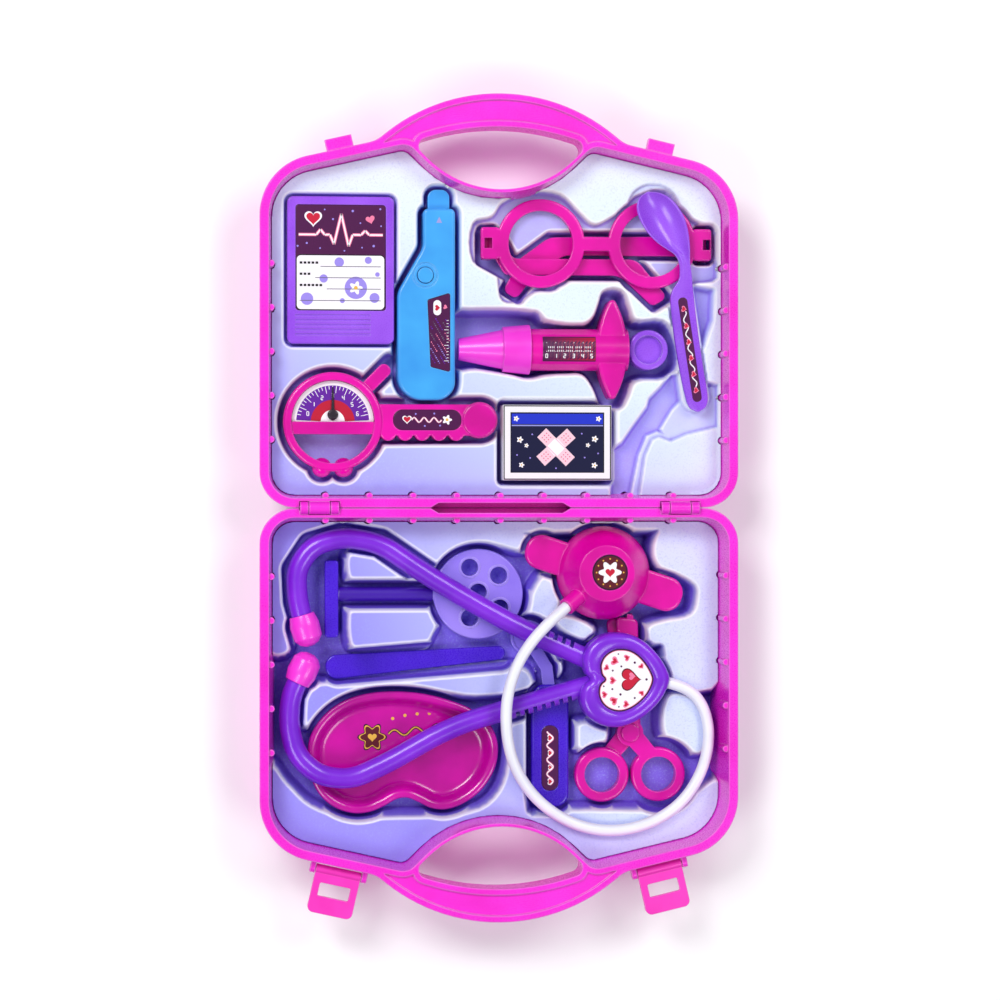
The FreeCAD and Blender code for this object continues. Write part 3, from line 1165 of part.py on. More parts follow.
def notches(points, count, side):
    """Slots across one side of a tube near the hub, where it bends."""
    end = points[-1]
    along = points[-2].sub(end).normalize()
    across = Vector(-along.y, along.x, 0) * side
    turn = math.degrees(math.atan2(along.y, along.x))
    wide = 2 * ARM_RADIUS
    cutters = []
    for step in range(count):
        place = end + along * (NOTCH_START + NOTCH_PITCH * step) + across * (ARM_RADIUS - NOTCH_DEPTH)
        slot = block(-NOTCH_WIDTH / 2, NOTCH_WIDTH / 2, min(0, side * wide), max(0, side * wide), -wide, wide)
        slot.rotate(Vector(0, 0, 0), Vector(0, 0, 1), turn)
        slot.translate(place)
        cutters.append(slot)
    return cutters


def tip_axis(points):
    """End of a tube and the direction in which its ear tip points."""
    return points[0], points[0].sub(points[1]).normalize()


def build_stethoscope():
    """Heart hub in two covers, two ear tubes with tips, the hose and the chest piece."""
    bore = ARM_RADIUS + ARM_PLAY
    for name, points, count, side in (("upper", UPPER, UPPER_NOTCHES, -1),
                                      ("lower", LOWER, LOWER_NOTCHES, 1)):
        export("ear_tube_" + name, tube(points, ARM_RADIUS).cut(notches(points, count, side)))
        end, along = tip_axis(points)
        profile = [(-EAR_TIP_GRIP, bore), (ARM_PLAY, bore), (ARM_PLAY, 0), (EAR_TIP_LENGTH, 0)]
        profile += [(EAR_TIP_LENGTH - back, EAR_TIP_RADIUS - inset) for back, inset in EAR_TIP_PROFILE]
        export("ear_tip_" + name, lathe(profile, end, along))

    sockets = [tube(UPPER, bore), tube(LOWER, bore), tube(HOSE, HOSE_RADIUS + ARM_PLAY)]
    front = soften(prism(HEART_PLAN, ARM_Z, HEART_TOP), HEART_TOP, HEART_EDGE)
    field = grown(HEART_PLAN, -HEART_BORDER)
    front = front.cut([prism(HEART_PLAN, ARM_Z, HEART_TOP - 2 * HEART_WALL, -HEART_WALL),
                       recess(field, HEART_TOP)] + sockets)
    export("heart_front_cover", front)
    back = soften(prism(HEART_PLAN, HEART_LOW, ARM_Z), HEART_LOW, EDGE_LARGE)
    back = back.cut([prism(HEART_PLAN, HEART_LOW + HEART_WALL, ARM_Z, -HEART_WALL)] + sockets)
    export("heart_back_cover", back)
    export("heart_label", label(field, HEART_TOP))

    hose = tube(HOSE, HOSE_RADIUS)
    path, radii = route(HOSE)
    share = hose.Volume / (math.pi * HOSE_RADIUS ** 2 * path.Length)
    print("hose radii", radii, "length", round(path.Length, 1), "volume share", round(share, 4))
    export("stethoscope_tube", hose)
    build_chest_piece()


def chest_profile(wall):
    """Half section of the chest piece's dome, inside by a wall."""
    high = CHEST_HEIGHT - wall
    return [(DIAPHRAGM, 0), (DIAPHRAGM, CHEST_RADIUS - wall), (CHEST_SKIRT, CHEST_RADIUS - wall),
            (CHEST_BREAK, CHEST_RADIUS - CHEST_BREAK_IN - wall), (high, CHEST_FLAT - wall / 2), (high, 0)]


def lobe_plans():
    """Plans of the two grips beside the chest piece's dome."""
    ends = (LOBE_LEFT, LOBE_RIGHT)
    return [strip(CHEST_X, CHEST_Y, LOBE_WIDTH, x, y, LOBE_WIDTH) for x, y in ends]


def build_chest_piece():
    """Domed chest piece with two grips, a diaphragm below and a round label on top."""
    centre = Vector(CHEST_X, CHEST_Y, CHEST_LOW)
    up = Vector(0, 0, 1)
    lobe_low = CHEST_LOW + LOBE_RISE
    lobe_top = lobe_low + LOBE_THICK
    lobes = soften(prisms(lobe_plans(), lobe_low, lobe_top), lobe_top, EDGE_LARGE)
    end = HOSE[-1]
    outwards = HOSE[-2].sub(end).normalize()
    collar = rod(end, end + outwards * HOSE_COLLAR_LENGTH, HOSE_RADIUS + HOSE_COLLAR)
    body = fuse([lathe(chest_profile(0), centre, up), lobes, collar])
    top = CHEST_LOW + CHEST_HEIGHT
    field = disc(CHEST_X + CHEST_LABEL_X, CHEST_Y + CHEST_LABEL_Y, CHEST_LABEL)
    socket = tube(HOSE, HOSE_RADIUS + ARM_PLAY)
    body = body.cut([lathe(chest_profile(CHEST_WALL), centre, up), socket, recess(field, top)])
    export("chest_piece_body", body)
    plate = post(CHEST_X, CHEST_Y, CHEST_RADIUS - EDGE_MIDDLE, CHEST_LOW, CHEST_LOW + DIAPHRAGM)
    export("chest_piece_diaphragm", soften(plate, CHEST_LOW, EDGE_TINY))
    export("chest_piece_label", label(field, top))


HAMMER_Z = LOW + HAMMER_THICK / 2
HEAD_PLAN = rectangle(HAMMER_HEAD_X, HAMMER_HEAD_X + HAMMER_HEAD_WIDTH, HAMMER_HEAD_FAR,
                      HAMMER_HEAD_FAR + HAMMER_HEAD_LENGTH, EDGE_LARGE)
SHAFT_PLAN = rectangle(HAMMER_HEAD_X + HAMMER_HEAD_WIDTH - PAST, HAMMER_DISC_X, HAMMER_Y - HAMMER_SHAFT,
                       HAMMER_Y + HAMMER_SHAFT, 0)


def build_hammer():
    """Reflex hammer: a bar head on a shaft that ends in a perforated disc."""
    neck = HAMMER_HEAD_X + HAMMER_HEAD_WIDTH
    peg = HAMMER_SHAFT - EDGE_MIDDLE
    peg_start = Vector(neck - HAMMER_TENON, HAMMER_Y, HAMMER_Z)
    shaft_start = Vector(neck, HAMMER_Y, HAMMER_Z)
    top = LOW + HAMMER_THICK
    rim_top = top + HAMMER_RIM_RISE
    shaft = rod(shaft_start, Vector(HAMMER_DISC_X, HAMMER_Y, HAMMER_Z), HAMMER_SHAFT)
    tenon = rod(peg_start, shaft_start + ALONG_X * PAST, peg)
    plate = soften(post(HAMMER_DISC_X, HAMMER_Y, HAMMER_DISC, LOW, top), top, EDGE_MIDDLE)
    rims = []
    holes = []
    for x, y in HAMMER_HOLES:
        x, y = HAMMER_DISC_X + x, HAMMER_Y + y
        rims.append(post(x, y, HAMMER_HOLE + HAMMER_HOLE_RIM, top - PAST, rim_top))
        holes.append(post(x, y, HAMMER_HOLE, 0, HALF_DEPTH))
    export("hammer_handle", fuse([shaft, tenon, plate] + rims).cut(holes))
    head = soften(prism(HEAD_PLAN, LOW, rim_top), rim_top, EDGE_SMALL)
    mortise = rod(peg_start - ALONG_X * SEAT, shaft_start + ALONG_X * PAST, peg + PIN_SEAT)
    export("hammer_head", head.cut(mortise))


DEPRESSOR_PLAN = strip(DEPRESSOR_LEFT[0], DEPRESSOR_LEFT[1], DEPRESSOR_WIDE,
                       DEPRESSOR_RIGHT[0], DEPRESSOR_RIGHT[1], DEPRESSOR_NARROW)


def build_depressor():
    """Tapered strip with rounded ends."""
    top = DEPRESSOR_LOW + DEPRESSOR_THICK
    export("tongue_depressor", soften(prism(DEPRESSOR_PLAN, DEPRESSOR_LOW, top), top, EDGE_SMALL))


DISH_MIDDLE = DISH_LEFT + DISH_WIDTH / 2
DISH_RIGHT = DISH_LEFT + DISH_WIDTH
DISH_BACK = DISH_FAR + DISH_LENGTH
DISH_PLAN = ([(DISH_LEFT, DISH_FAR, DISH_FRONT_CORNER)] + around(DISH_MIDDLE, DISH_FAR, DISH_BITE) +
             [(DISH_RIGHT, DISH_FAR, DISH_FRONT_CORNER), (DISH_RIGHT, DISH_BACK, DISH_BACK_CORNER),
              (DISH_LEFT, DISH_BACK, DISH_BACK_CORNER)])


def build_dish():
    """Kidney dish: drafted wall with a flat rim."""
    top = LOW + DISH_HEIGHT
    outer = taper(DISH_PLAN, LOW, -DISH_RIM - DISH_DRAFT + DISH_WALL, top, -DISH_RIM + DISH_WALL)
    rim = prism(DISH_PLAN, top - DISH_WALL, top)
    inner = taper(DISH_PLAN, LOW + DISH_WALL, -DISH_RIM - DISH_DRAFT, top, -DISH_RIM)
    export("kidney_dish", outer.fuse(rim).cut(inner).removeSplitter())


MIRROR_TOP_Y = MIRROR_FAR + MIRROR_LENGTH
MIRROR_X = MIRROR_LEFT + MIRROR_WIDTH / 2
MIRROR_PLAN = rectangle(MIRROR_LEFT, MIRROR_LEFT + MIRROR_WIDTH, MIRROR_FAR, MIRROR_TOP_Y, MIRROR_CORNER)
MIRROR_BEND = (MIRROR_X - MIRROR_LEAN, MIRROR_TOP_Y + MIRROR_RISE)
NECK_PLANS = [strip(MIRROR_X, MIRROR_TOP_Y - MIRROR_TENON, MIRROR_NECK, *MIRROR_BEND, MIRROR_NECK),
              strip(*MIRROR_BEND, MIRROR_NECK, *MIRROR_DISC, MIRROR_NECK),
              disc(MIRROR_DISC[0], MIRROR_DISC[1], MIRROR_DISC_RADIUS)]


def build_throat_mirror():
    """Throat mirror: a broad handle and a bent neck that carries a small disc."""
    top = LOW + MIRROR_THICK
    handle = soften(prism(MIRROR_PLAN, LOW, top), top, EDGE_LARGE)
    neck_low = LOW + MIRROR_NECK_LOW
    neck_top = neck_low + MIRROR_NECK_THICK
    field_start = MIRROR_FAR + MIRROR_LABEL_START
    field = rectangle(MIRROR_X - MIRROR_LABEL_HALF, MIRROR_X + MIRROR_LABEL_HALF, field_start,
                      field_start + MIRROR_LABEL_LENGTH, MIRROR_LABEL_HALF - SEAT)
    dimple = post(MIRROR_DISC[0], MIRROR_DISC[1], MIRROR_DISC_RADIUS - MIRROR_DIMPLE_RIM,
                  neck_top - MIRROR_DIMPLE, HALF_DEPTH)
    mortise = prisms(NECK_PLANS[0:1], neck_low, neck_top, PIN_SEAT)
    export("throat_mirror_handle", handle.cut([mortise, recess(field, top)]))
    export("throat_mirror_neck", prisms(NECK_PLANS, neck_low, neck_top).cut(dimple))
    export("throat_mirror_label", label(field, top))


SCISSOR_TOP = LOW + 2 * BLADE_THICK + BLADE_GAP


def scissor_ring(side):
    """Middle of one finger ring."""
    return PIVOT_X + side * RING_SPREAD, PIVOT_Y - RING_DROP


def scissor_plans(side):
    """Shank, pivot eye and blade of the half whose ring is on one side."""
    x, y = scissor_ring(side)
    blade = [(PIVOT_X - side * 6.0, PIVOT_Y, 0), (PIVOT_X + side * 3.0, PIVOT_Y, 0),
             (PIVOT_X + side * 1.5, BLADE_TIP, 0), (PIVOT_X - side * 1.5, BLADE_TIP + 1.0, 0)]
    if side < 0:
        blade.reverse()
    shank = strip(x - side * SHANK_IN, y + SHANK_RISE, SHANK_WIDTH, PIVOT_X, PIVOT_Y, EYE_WIDTH)
    return [shank, disc(PIVOT_X, PIVOT_Y, EYE_RADIUS), blade]


def build_scissors():
    """Two lapped halves on a rivet."""
    for side, name, low in ((-1, "scissors_half_left", LOW),
                            (1, "scissors_half_right", SCISSOR_TOP - BLADE_THICK)):
        x, y = scissor_ring(side)
        ring = soften(post(x, y, RING_OUTER, LOW, SCISSOR_TOP), SCISSOR_TOP, EDGE_LARGE)
        half = fuse([ring, prisms(scissor_plans(side), low, low + BLADE_THICK)])
        play = PIN_SEAT if side < 0 else PIN_RUN
        export(name, half.cut([post(x, y, RING_INNER, 0, HALF_DEPTH),
                               post(PIVOT_X, PIVOT_Y, RIVET_RADIUS + play, 0, HALF_DEPTH)]))
    cap = SCISSOR_TOP + BLADE_GAP
    head = soften(post(PIVOT_X, PIVOT_Y, RIVET_HEAD, cap, cap + RIVET_CAP), cap + RIVET_CAP, EDGE_TINY)
    export("scissors_rivet", fuse([post(PIVOT_X, PIVOT_Y, RIVET_RADIUS, LOW, cap), head]))


def over(plans, extra=0.0):
    """Pocket maker for pieces with a plan."""
    return lambda bottom, top, grow: prisms(plans, bottom, top, grow + extra)


def along(points):
    """Pocket maker for a channel under an ear tube."""
    path, _ = route([Vector(point.x, point.y, 0) for point in points])

    def channel(bottom, top, grow):
        ring = path.makeOffset2D(ARM_RADIUS + grow, 0, False, False)
        floor = Part.Face(ring)
        floor.translate(Vector(0, 0, bottom - floor.BoundBox.ZMin))
        return floor.extrude(Vector(0, 0, top - bottom))

    return channel


def tip_plan(points):
    """Plan of an ear tip."""
    end, direction = tip_axis(points)
    start = end - direction * (EAR_TIP_GRIP + EAR_TIP_ROOM)
    far = end + direction * EAR_TIP_LENGTH
    inset = EAR_TIP_RADIUS
    return strip(start.x + direction.x * inset, start.y + direction.y * inset, 2 * EAR_TIP_RADIUS,
                 far.x - direction.x * inset, far.y - direction.y * inset, 2 * EAR_TIP_RADIUS)


def formed_tray(plan, top, pockets):
    """Thin formed sheet: a top with a skirt down to the floor, and a tub of sheet round each pocket."""
    low = FLOOR + SEAT
    outer = taper(plan, low, -TRAY_INSET - TRAY_DRAFT, top, -TRAY_INSET)
    inner = taper(plan, low, -TRAY_INSET - TRAY_DRAFT - SHEET, top - SHEET, -TRAY_INSET - SHEET)
    tubs = [make(floor - SHEET, top, POCKET_CLEAR + SHEET) for make, floor in pockets]
    rooms = [make(floor, top + PAST, POCKET_CLEAR) for make, floor in pockets]
    sheet = outer.cut(inner).fuse([tub.common(outer) for tub in tubs])
    return sheet.cut(rooms).removeSplitter()


def lid_pockets():
    """Pockets of the lid tray, each with its floor."""
    axis = SYRINGE.z
    temple = over([LEFT_TEMPLE, RIGHT_TEMPLE], TEMPLE_ROOM)
    return [(over([CHART_PLAN]), CHART_TOP - CHART_THICK - SEAT),
            (over([THERMO_PLAN]), THERMO_BOTTOM - SEAT),
            (over([PROBE_PLAN]), THERMO_PART - PROBE_THICK / 2 - SEAT),
            (over(glasses_plans()), FRAME_BOTTOM - SEAT),
            (over([lug_plan(-1), lug_plan(1)]), GLASSES_FLOOR),
            (temple, GLASSES_FLOOR),
            (over([SPOON_HANDLE, SPOON_BOWL]), SPOON_BOTTOM - SEAT),
            (over([NOZZLE_PLAN]), axis - COLLAR_RADIUS - SEAT),
            (over([BARREL_PLAN]), axis - BARREL_RADIUS - SEAT),
            (over([FLANGE_PLAN]), axis - FLANGE_DEPTH - SEAT),
            (over([THUMB_PLAN]), axis - THUMB_HALF - SEAT),
            (over([disc(GAUGE_X, GAUGE_Y, GAUGE_RADIUS), stub_plan()] + grip_plans() +
                  [disc(x, BALL_Y, BALL_RADIUS) for x in BALLS_X]), GAUGE_FLOOR),
            (over([BOX_PLAN]), BOX_TOP - BOX_THICK - SEAT)]


def base_pockets():
    """Pockets of the base tray, each with its floor."""
    arm_floor = ARM_Z - ARM_RADIUS - SEAT
    left_ring = disc(*scissor_ring(-1), RING_OUTER)
    right_ring = disc(*scissor_ring(1), RING_OUTER)
    swing = [(PIVOT_X - SWING_LEFT, BLADE_TIP, 2.0), (PIVOT_X - SWING_ROOT, PIVOT_Y, 0.0),
             (PIVOT_X + SWING_ROOT, PIVOT_Y, 0.0), (PIVOT_X + SWING_RIGHT, BLADE_TIP, 2.0)]
    return [(along(UPPER), arm_floor),
            (along(LOWER), arm_floor),
            (over([tip_plan(UPPER), tip_plan(LOWER)]), EAR_TIP_FLOOR),
            (over([HEART_PLAN]), HEART_LOW - SEAT),
            (over([disc(CHEST_X, CHEST_Y, CHEST_RADIUS)]), CHEST_LOW - SEAT),
            (over(lobe_plans()), CHEST_LOW + LOBE_RISE - SEAT),
            (over([HEAD_PLAN, SHAFT_PLAN, disc(HAMMER_DISC_X, HAMMER_Y, HAMMER_DISC)]), LOW_FLOOR),
            (over([DEPRESSOR_PLAN]), DEPRESSOR_LOW - SEAT),
            (over([DISH_PLAN]), LOW_FLOOR),
            (over([MIRROR_PLAN] + NECK_PLANS), LOW_FLOOR),
            (over(scissor_plans(-1) + scissor_plans(1) + [left_ring, swing]), LOW_FLOOR),
            (over([right_ring], SCISSOR_ROOM), LOW_FLOOR)]


def build_trays():
    """Both insert trays."""
    export("lid_insert_tray", formed_tray(CASE_PLAN, LID_TRAY_TOP, lid_pockets()))
    base_plan = [(x, -y, radius) for x, y, radius in reversed(CASE_PLAN)]
    export("base_insert_tray", formed_tray(base_plan, BASE_TRAY_TOP, base_pockets()))


build_case()
build_chart()
build_thermometer()
build_glasses()
build_spoon()
build_syringe()
build_gauge()
build_bandage_box()
build_stethoscope()
build_hammer()
build_depressor()
build_dish()
build_throat_mirror()
build_scissors()
build_trays()
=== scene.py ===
"""Looks of a toy doctor case that lies open, with its play instruments in two formed trays.

Sizes are in millimetres until a mesh is made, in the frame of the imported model: X along the hinge, the
lid at +Y, the base at -Y and Z up.
"""

import logging
import math
from dataclasses import dataclass, field
from enum import Enum

import bmesh
import bpy
import numpy as np
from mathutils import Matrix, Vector

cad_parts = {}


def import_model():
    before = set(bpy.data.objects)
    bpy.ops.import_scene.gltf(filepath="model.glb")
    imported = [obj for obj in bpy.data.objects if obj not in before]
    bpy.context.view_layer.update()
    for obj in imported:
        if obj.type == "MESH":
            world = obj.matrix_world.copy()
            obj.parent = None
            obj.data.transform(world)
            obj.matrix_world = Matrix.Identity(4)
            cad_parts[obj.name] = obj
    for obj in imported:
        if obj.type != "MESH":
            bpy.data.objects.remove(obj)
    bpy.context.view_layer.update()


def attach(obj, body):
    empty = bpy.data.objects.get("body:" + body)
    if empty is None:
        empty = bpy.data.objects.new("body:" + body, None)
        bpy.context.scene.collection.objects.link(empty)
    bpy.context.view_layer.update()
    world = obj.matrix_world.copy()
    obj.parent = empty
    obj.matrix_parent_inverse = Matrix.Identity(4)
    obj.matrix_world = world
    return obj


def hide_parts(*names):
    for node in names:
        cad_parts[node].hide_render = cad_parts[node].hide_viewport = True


LOG = logging.getLogger("doctor_case")
MM = 0.001
Array = np.ndarray
Plan = list[tuple[float, float, float]]
Points = list[tuple[float, float]]


def linear(code: str) -> tuple[float, float, float, float]:
    """Turn an sRGB hex colour into linear light.

    Args:
        code: Colour such as "#F32CC4".

    Returns:
        Red, green, blue and alpha from 0 to 1.
    """
    part = np.array([int(code[i:i + 2], 16) for i in (1, 3, 5)]) / 255.0
    light = np.where(part <= 0.04045, part / 12.92, ((part + 0.055) / 1.055) ** 2.4)
    return float(light[0]), float(light[1]), float(light[2]), 1.0


def add(tree: bpy.types.NodeTree, kind: str, settings: dict | None = None, links: dict | None = None) -> bpy.types.Node:
    """Add a node with its settings and links.

    Args:
        tree: Node tree of a material.
        kind: Node type.
        settings: Values by input name or number, or by property name.
        links: Sockets that feed the node's inputs, by input name or number.

    Returns:
        The new node.
    """
    node = tree.nodes.new(kind)
    for key, value in (settings or {}).items():
        if isinstance(key, int) or key in node.inputs:
            node.inputs[key].default_value = value
        else:
            setattr(node, key, value)
    for key, socket in (links or {}).items():
        tree.links.new(socket, node.inputs[key])
    return node


def per_metre(size_mm: float) -> float:
    """Texture scale at which one cell of a pattern is size_mm wide."""
    return 1.0 / (size_mm * MM)


def begin(name: str) -> tuple[bpy.types.Material, bpy.types.NodeTree, bpy.types.NodeSocket]:
    """Start a material with its shader.

    Args:
        name: Name of the material.

    Returns:
        The material, its node tree and the socket with the place on the piece, in metres.
    """
    material = bpy.data.materials.new(name)
    material.use_nodes = True
    tree = material.node_tree
    return material, tree, add(tree, "ShaderNodeTexCoord").outputs["Object"]


def noise(tree: bpy.types.NodeTree, place: bpy.types.NodeSocket, size_mm: float,
          **settings: float) -> bpy.types.NodeSocket:
    """Add a noise pattern.

    Args:
        tree: Node tree of a material.
        place: Socket with the place on the piece.
        size_mm: Size of its patches.
        settings: Further inputs of the pattern, such as Detail.

    Returns:
        Socket with values from 0 to 1.
    """
    return add(tree, "ShaderNodeTexNoise", {"Scale": per_metre(size_mm), **settings}, {"Vector": place}).outputs["Fac"]


def spread(tree: bpy.types.NodeTree, value: bpy.types.NodeSocket, start: float = 0.0, end: float = 1.0,
           low: float = 0.0, high: float = 1.0) -> bpy.types.NodeSocket:
    """Stretch a range of values over another one, and hold the ends.

    Args:
        tree: Node tree of a material.
        value: Socket with the values.
        start: Value that becomes low.
        end: Value that becomes high.
        low: First end of the new range.
        high: Second end of the new range.

    Returns:
        Socket with the new values.
    """
    ends = {"From Min": start, "From Max": end, "To Min": low, "To Max": high}
    return add(tree, "ShaderNodeMapRange", ends, {"Value": value}).outputs["Result"]


def blend(tree: bpy.types.NodeTree, under: str | bpy.types.NodeSocket, over: str,
          share: bpy.types.NodeSocket) -> bpy.types.NodeSocket:
    """Mix two colours.

    Args:
        tree: Node tree of a material.
        under: First colour, as a hex code or as a socket.
        over: Second colour as a hex code.
        share: Socket with the share of the second colour.

    Returns:
        Socket with the mixed colour.
    """
    node = add(tree, "ShaderNodeMix", {"data_type": "RGBA", 7: linear(over)}, {0: share})
    if isinstance(under, str):
        node.inputs[6].default_value = linear(under)
    else:
        tree.links.new(under, node.inputs[6])
    return node.outputs[2]


def feed(tree: bpy.types.NodeTree, **inputs: float | tuple | bpy.types.NodeSocket) -> None:
    """Set the shader's inputs.

    Args:
        tree: Node tree of a material.
        inputs: A constant or a socket by input name, with _ for each space.
    """
    shader = tree.nodes["Principled BSDF"]
    for key, value in inputs.items():
        socket = shader.inputs[key.replace("_", " ")]
        if isinstance(value, bpy.types.NodeSocket):
            tree.links.new(value, socket)
        else:
            socket.default_value = value


def bump(tree: bpy.types.NodeTree, height: bpy.types.NodeSocket, strength: float, depth_mm: float,
         normal: bpy.types.NodeSocket | None = None) -> bpy.types.NodeSocket:
    """Raise a pattern from the surface.

    Args:
        tree: Node tree of a material.
        height: Socket with the pattern.
        strength: Share of the relief that shows.
        depth_mm: Depth of the relief.
        normal: Socket with the surface's own direction, if it isn't the mesh's.

    Returns:
        Socket with the new direction of the surface.
    """
    links = {"Height": height} if normal is None else {"Height": height, "Normal": normal}
    return add(tree, "ShaderNodeBump", {"Strength": strength, "Distance": depth_mm * MM}, links).outputs["Normal"]


@dataclass(frozen=True)
class MouldedPlastic:
    """Injection-moulded plastic: a clean gloss over a faint spark-eroded grain, with flow marks.

    The melt's flow leaves broad soft patches of a darker shade, edges are painted paler as a painted
    highlight, and the mould's grain breaks up the gloss. A two-colour moulding has its second colour
    outside a round spot, given as x, y and radius in millimetres.
    """

    name: str
    colour: str
    shade: str
    # colour of the painted highlight along the rounded edges
    edge: str
    roughness: float = 0.3
    flow_mm: float = 26.0
    grain_mm: float = 0.5          # real grain is about 0.1 mm, drawn coarser so that it shows
    grain_depth_mm: float = 0.004
    rounding_mm: float = 0.8
    gloss: float = 0.35
    spot: tuple[float, float, float] = (0.0, 0.0, 0.0)
    outside: str = ""

    def material(self) -> bpy.types.Material:
        """Make the material.

        Returns:
            The new material.
        """
        material, tree, place = begin(self.name)
        flow = spread(tree, noise(tree, place, self.flow_mm, Detail=3.0), 0.35, 0.7)
        body = blend(tree, self.colour, self.shade, flow)
        if self.outside:
            x, y, radius = (size * MM for size in self.spot)
            level = add(tree, "ShaderNodeVectorMath", {"operation": "MULTIPLY", 1: (1.0, 1.0, 0.0)}, {0: place})
            reach = add(tree, "ShaderNodeVectorMath", {"operation": "DISTANCE", 1: (x, y, 0.0)}, {0: level.outputs[0]})
            beyond = add(tree, "ShaderNodeMath", {"operation": "GREATER_THAN", 1: radius}, {0: reach.outputs["Value"]})
            body = blend(tree, body, self.outside, beyond.outputs[0])
        soft = add(tree, "ShaderNodeBevel", {"samples": 6, "Radius": self.rounding_mm * MM}).outputs["Normal"]
        flat = add(tree, "ShaderNodeNewGeometry").outputs["Normal"]
        turn = add(tree, "ShaderNodeVectorMath", {"operation": "DOT_PRODUCT"}, {0: soft, 1: flat}).outputs["Value"]
        # painted highlight: where the rounded normal turns away from the flat one, the colour goes towards edge
        cover = blend(tree, body, self.edge, spread(tree, turn, 0.99, 0.75, high=0.55))
        grain = noise(tree, place, self.grain_mm, Detail=2.0)
        shine = spread(tree, grain, low=self.roughness - 0.06, high=self.roughness + 0.1)
        feed(tree, Base_Color=cover, Roughness=shine, Normal=bump(tree, grain, 0.5, self.grain_depth_mm, soft),
             IOR=1.49, Coat_Weight=self.gloss, Coat_Roughness=0.12)
        return material


@dataclass(frozen=True)
class FormedSheet:
    """Vacuum-formed polystyrene sheet: pale, thin and satin, with a fine speckle in its surface.

    Deeper in its pockets the sheet is painted bluer, a painted shade. The tray's mesh says in its
    attribute crest where the sheet bends over an edge of the mould, above 0, where it gets a painted
    highlight, or into a hollow, below 0, where a painted shade deepens its colour.
    """

    name: str
    colour: str
    speck: str
    # painted shade towards the bottom of the pockets
    low: str
    # painted shade in the sheet's hollows
    hollow: str
    top_mm: float
    depth_mm: float
    side_shade: str
    towards: tuple[float, float, float]     # painted shade, stronger towards this side of the sheet
    side_shade_mm: tuple[float, float]            # reach of that change
    roughness: float = 0.46
    speck_mm: float = 0.9                   # about twice the real speckle, so that it shows
    speck_depth_mm: float = 0.03
    cloud_mm: float = 22.0
    drift_mm: float = 5.0                   # how far clouds shift the change of colour with depth
    # painted highlight on the sheet's convex bends
    painted_highlight: str = "#FBFBFF"

    def material(self) -> bpy.types.Material:
        """Make the material.

        Returns:
            The new material.
        """
        material, tree, place = begin(self.name)
        grain = noise(tree, place, self.speck_mm, Detail=3.0, Roughness=0.7)
        cloud = noise(tree, place, self.cloud_mm, Detail=2.0)
        drift = add(tree, "ShaderNodeMath",
                    {"operation": "MULTIPLY_ADD", 1: self.drift_mm * MM, 2: -self.drift_mm / 2.0 * MM}, {0: cloud})
        height = add(tree, "ShaderNodeSeparateXYZ", None, {0: place})
        level = add(tree, "ShaderNodeMath", {"operation": "ADD"}, {0: height.outputs["Z"], 1: drift.outputs["Value"]})
        # painted shade: the colour goes towards low with depth below the top, shifted a little by clouds
        depth = spread(tree, level.outputs["Value"], (self.top_mm - 1.0) * MM, (self.top_mm - self.depth_mm) * MM)
        # painted shade: the colour goes towards the side shade along the direction towards
        across = add(tree, "ShaderNodeVectorMath", {"operation": "DOT_PRODUCT", 1: self.towards}, {0: place})
        side_shade_share = spread(tree, across.outputs["Value"], self.side_shade_mm[0] * MM, self.side_shade_mm[1] * MM)
        bend = add(tree, "ShaderNodeAttribute", {"attribute_name": "crest"}).outputs["Fac"]
        sheet = blend(tree, self.colour, self.side_shade, side_shade_share)
        sheet = blend(tree, sheet, self.low, depth)
        sheet = blend(tree, sheet, self.speck, spread(tree, grain, 0.52, 0.72, high=0.5))
        # painted shade in hollows and painted highlight on convex bends, both read from the crest attribute
        sheet = blend(tree, sheet, self.hollow, spread(tree, bend, -0.1, -0.9, high=0.5))
        sheet = blend(tree, sheet, self.painted_highlight, spread(tree, bend, 0.2, 0.8, high=0.7))
        feed(tree, Base_Color=sheet, Roughness=self.roughness, IOR=1.58,
             Normal=bump(tree, grain, 0.4, self.speck_depth_mm))
        return material


@dataclass(frozen=True)
class PrintedFilm:
    """Self-adhesive label or coated board: flat ink under a thin gloss film, with a faint print screen.

    With an attribute the ink's colour comes from the mesh.
    """

    name: str
    colour: str
    shade: str
    roughness: float = 0.28
    screen_mm: float = 0.5         # print screen, drawn about four times as coarse as the real one
    attribute: str = ""
    wave_mm: float = 7.0
    wave_depth_mm: float = 0.05

    def material(self) -> bpy.types.Material:
        """Make the material.

        Returns:
            The new material.
        """
        material, tree, place = begin(self.name)
        screen = add(tree, "ShaderNodeTexVoronoi", {"Scale": per_metre(self.screen_mm)}, {"Vector": place})
        ink = blend(tree, self.colour, self.shade, spread(tree, screen.outputs["Distance"], end=0.8, high=0.3))
        if self.attribute:
            own = add(tree, "ShaderNodeAttribute", {"attribute_name": self.attribute})
            ink.node.blend_type = "MULTIPLY"
            tree.links.new(own.outputs["Color"], ink.node.inputs[6])
        wave = noise(tree, place, self.wave_mm)
        feed(tree, Base_Color=ink, Roughness=self.roughness, IOR=1.5, Coat_Weight=0.3, Coat_Roughness=0.15,
             Normal=bump(tree, wave, 0.25, self.wave_depth_mm))
        return material


@dataclass(frozen=True)
class SoftHose:
    """Extruded PVC hose: smooth, milky and slightly waxy, with faint draw lines along its length."""

    name: str
    colour: str
    shade: str
    roughness: float = 0.34
    cloud_mm: float = 14.0
    line_mm: float = 0.8
    line_depth_mm: float = 0.02

    def material(self) -> bpy.types.Material:
        """Make the material.

        Returns:
            The new material.
        """
        material, tree, place = begin(self.name)
        milk = blend(tree, self.colour, self.shade, noise(tree, place, self.cloud_mm, Detail=3.0))
        lines = noise(tree, place, self.line_mm, Detail=2.0)
        feed(tree, Base_Color=milk, Roughness=self.roughness, IOR=1.53,
             Normal=bump(tree, lines, 0.3, self.line_depth_mm))
        return material


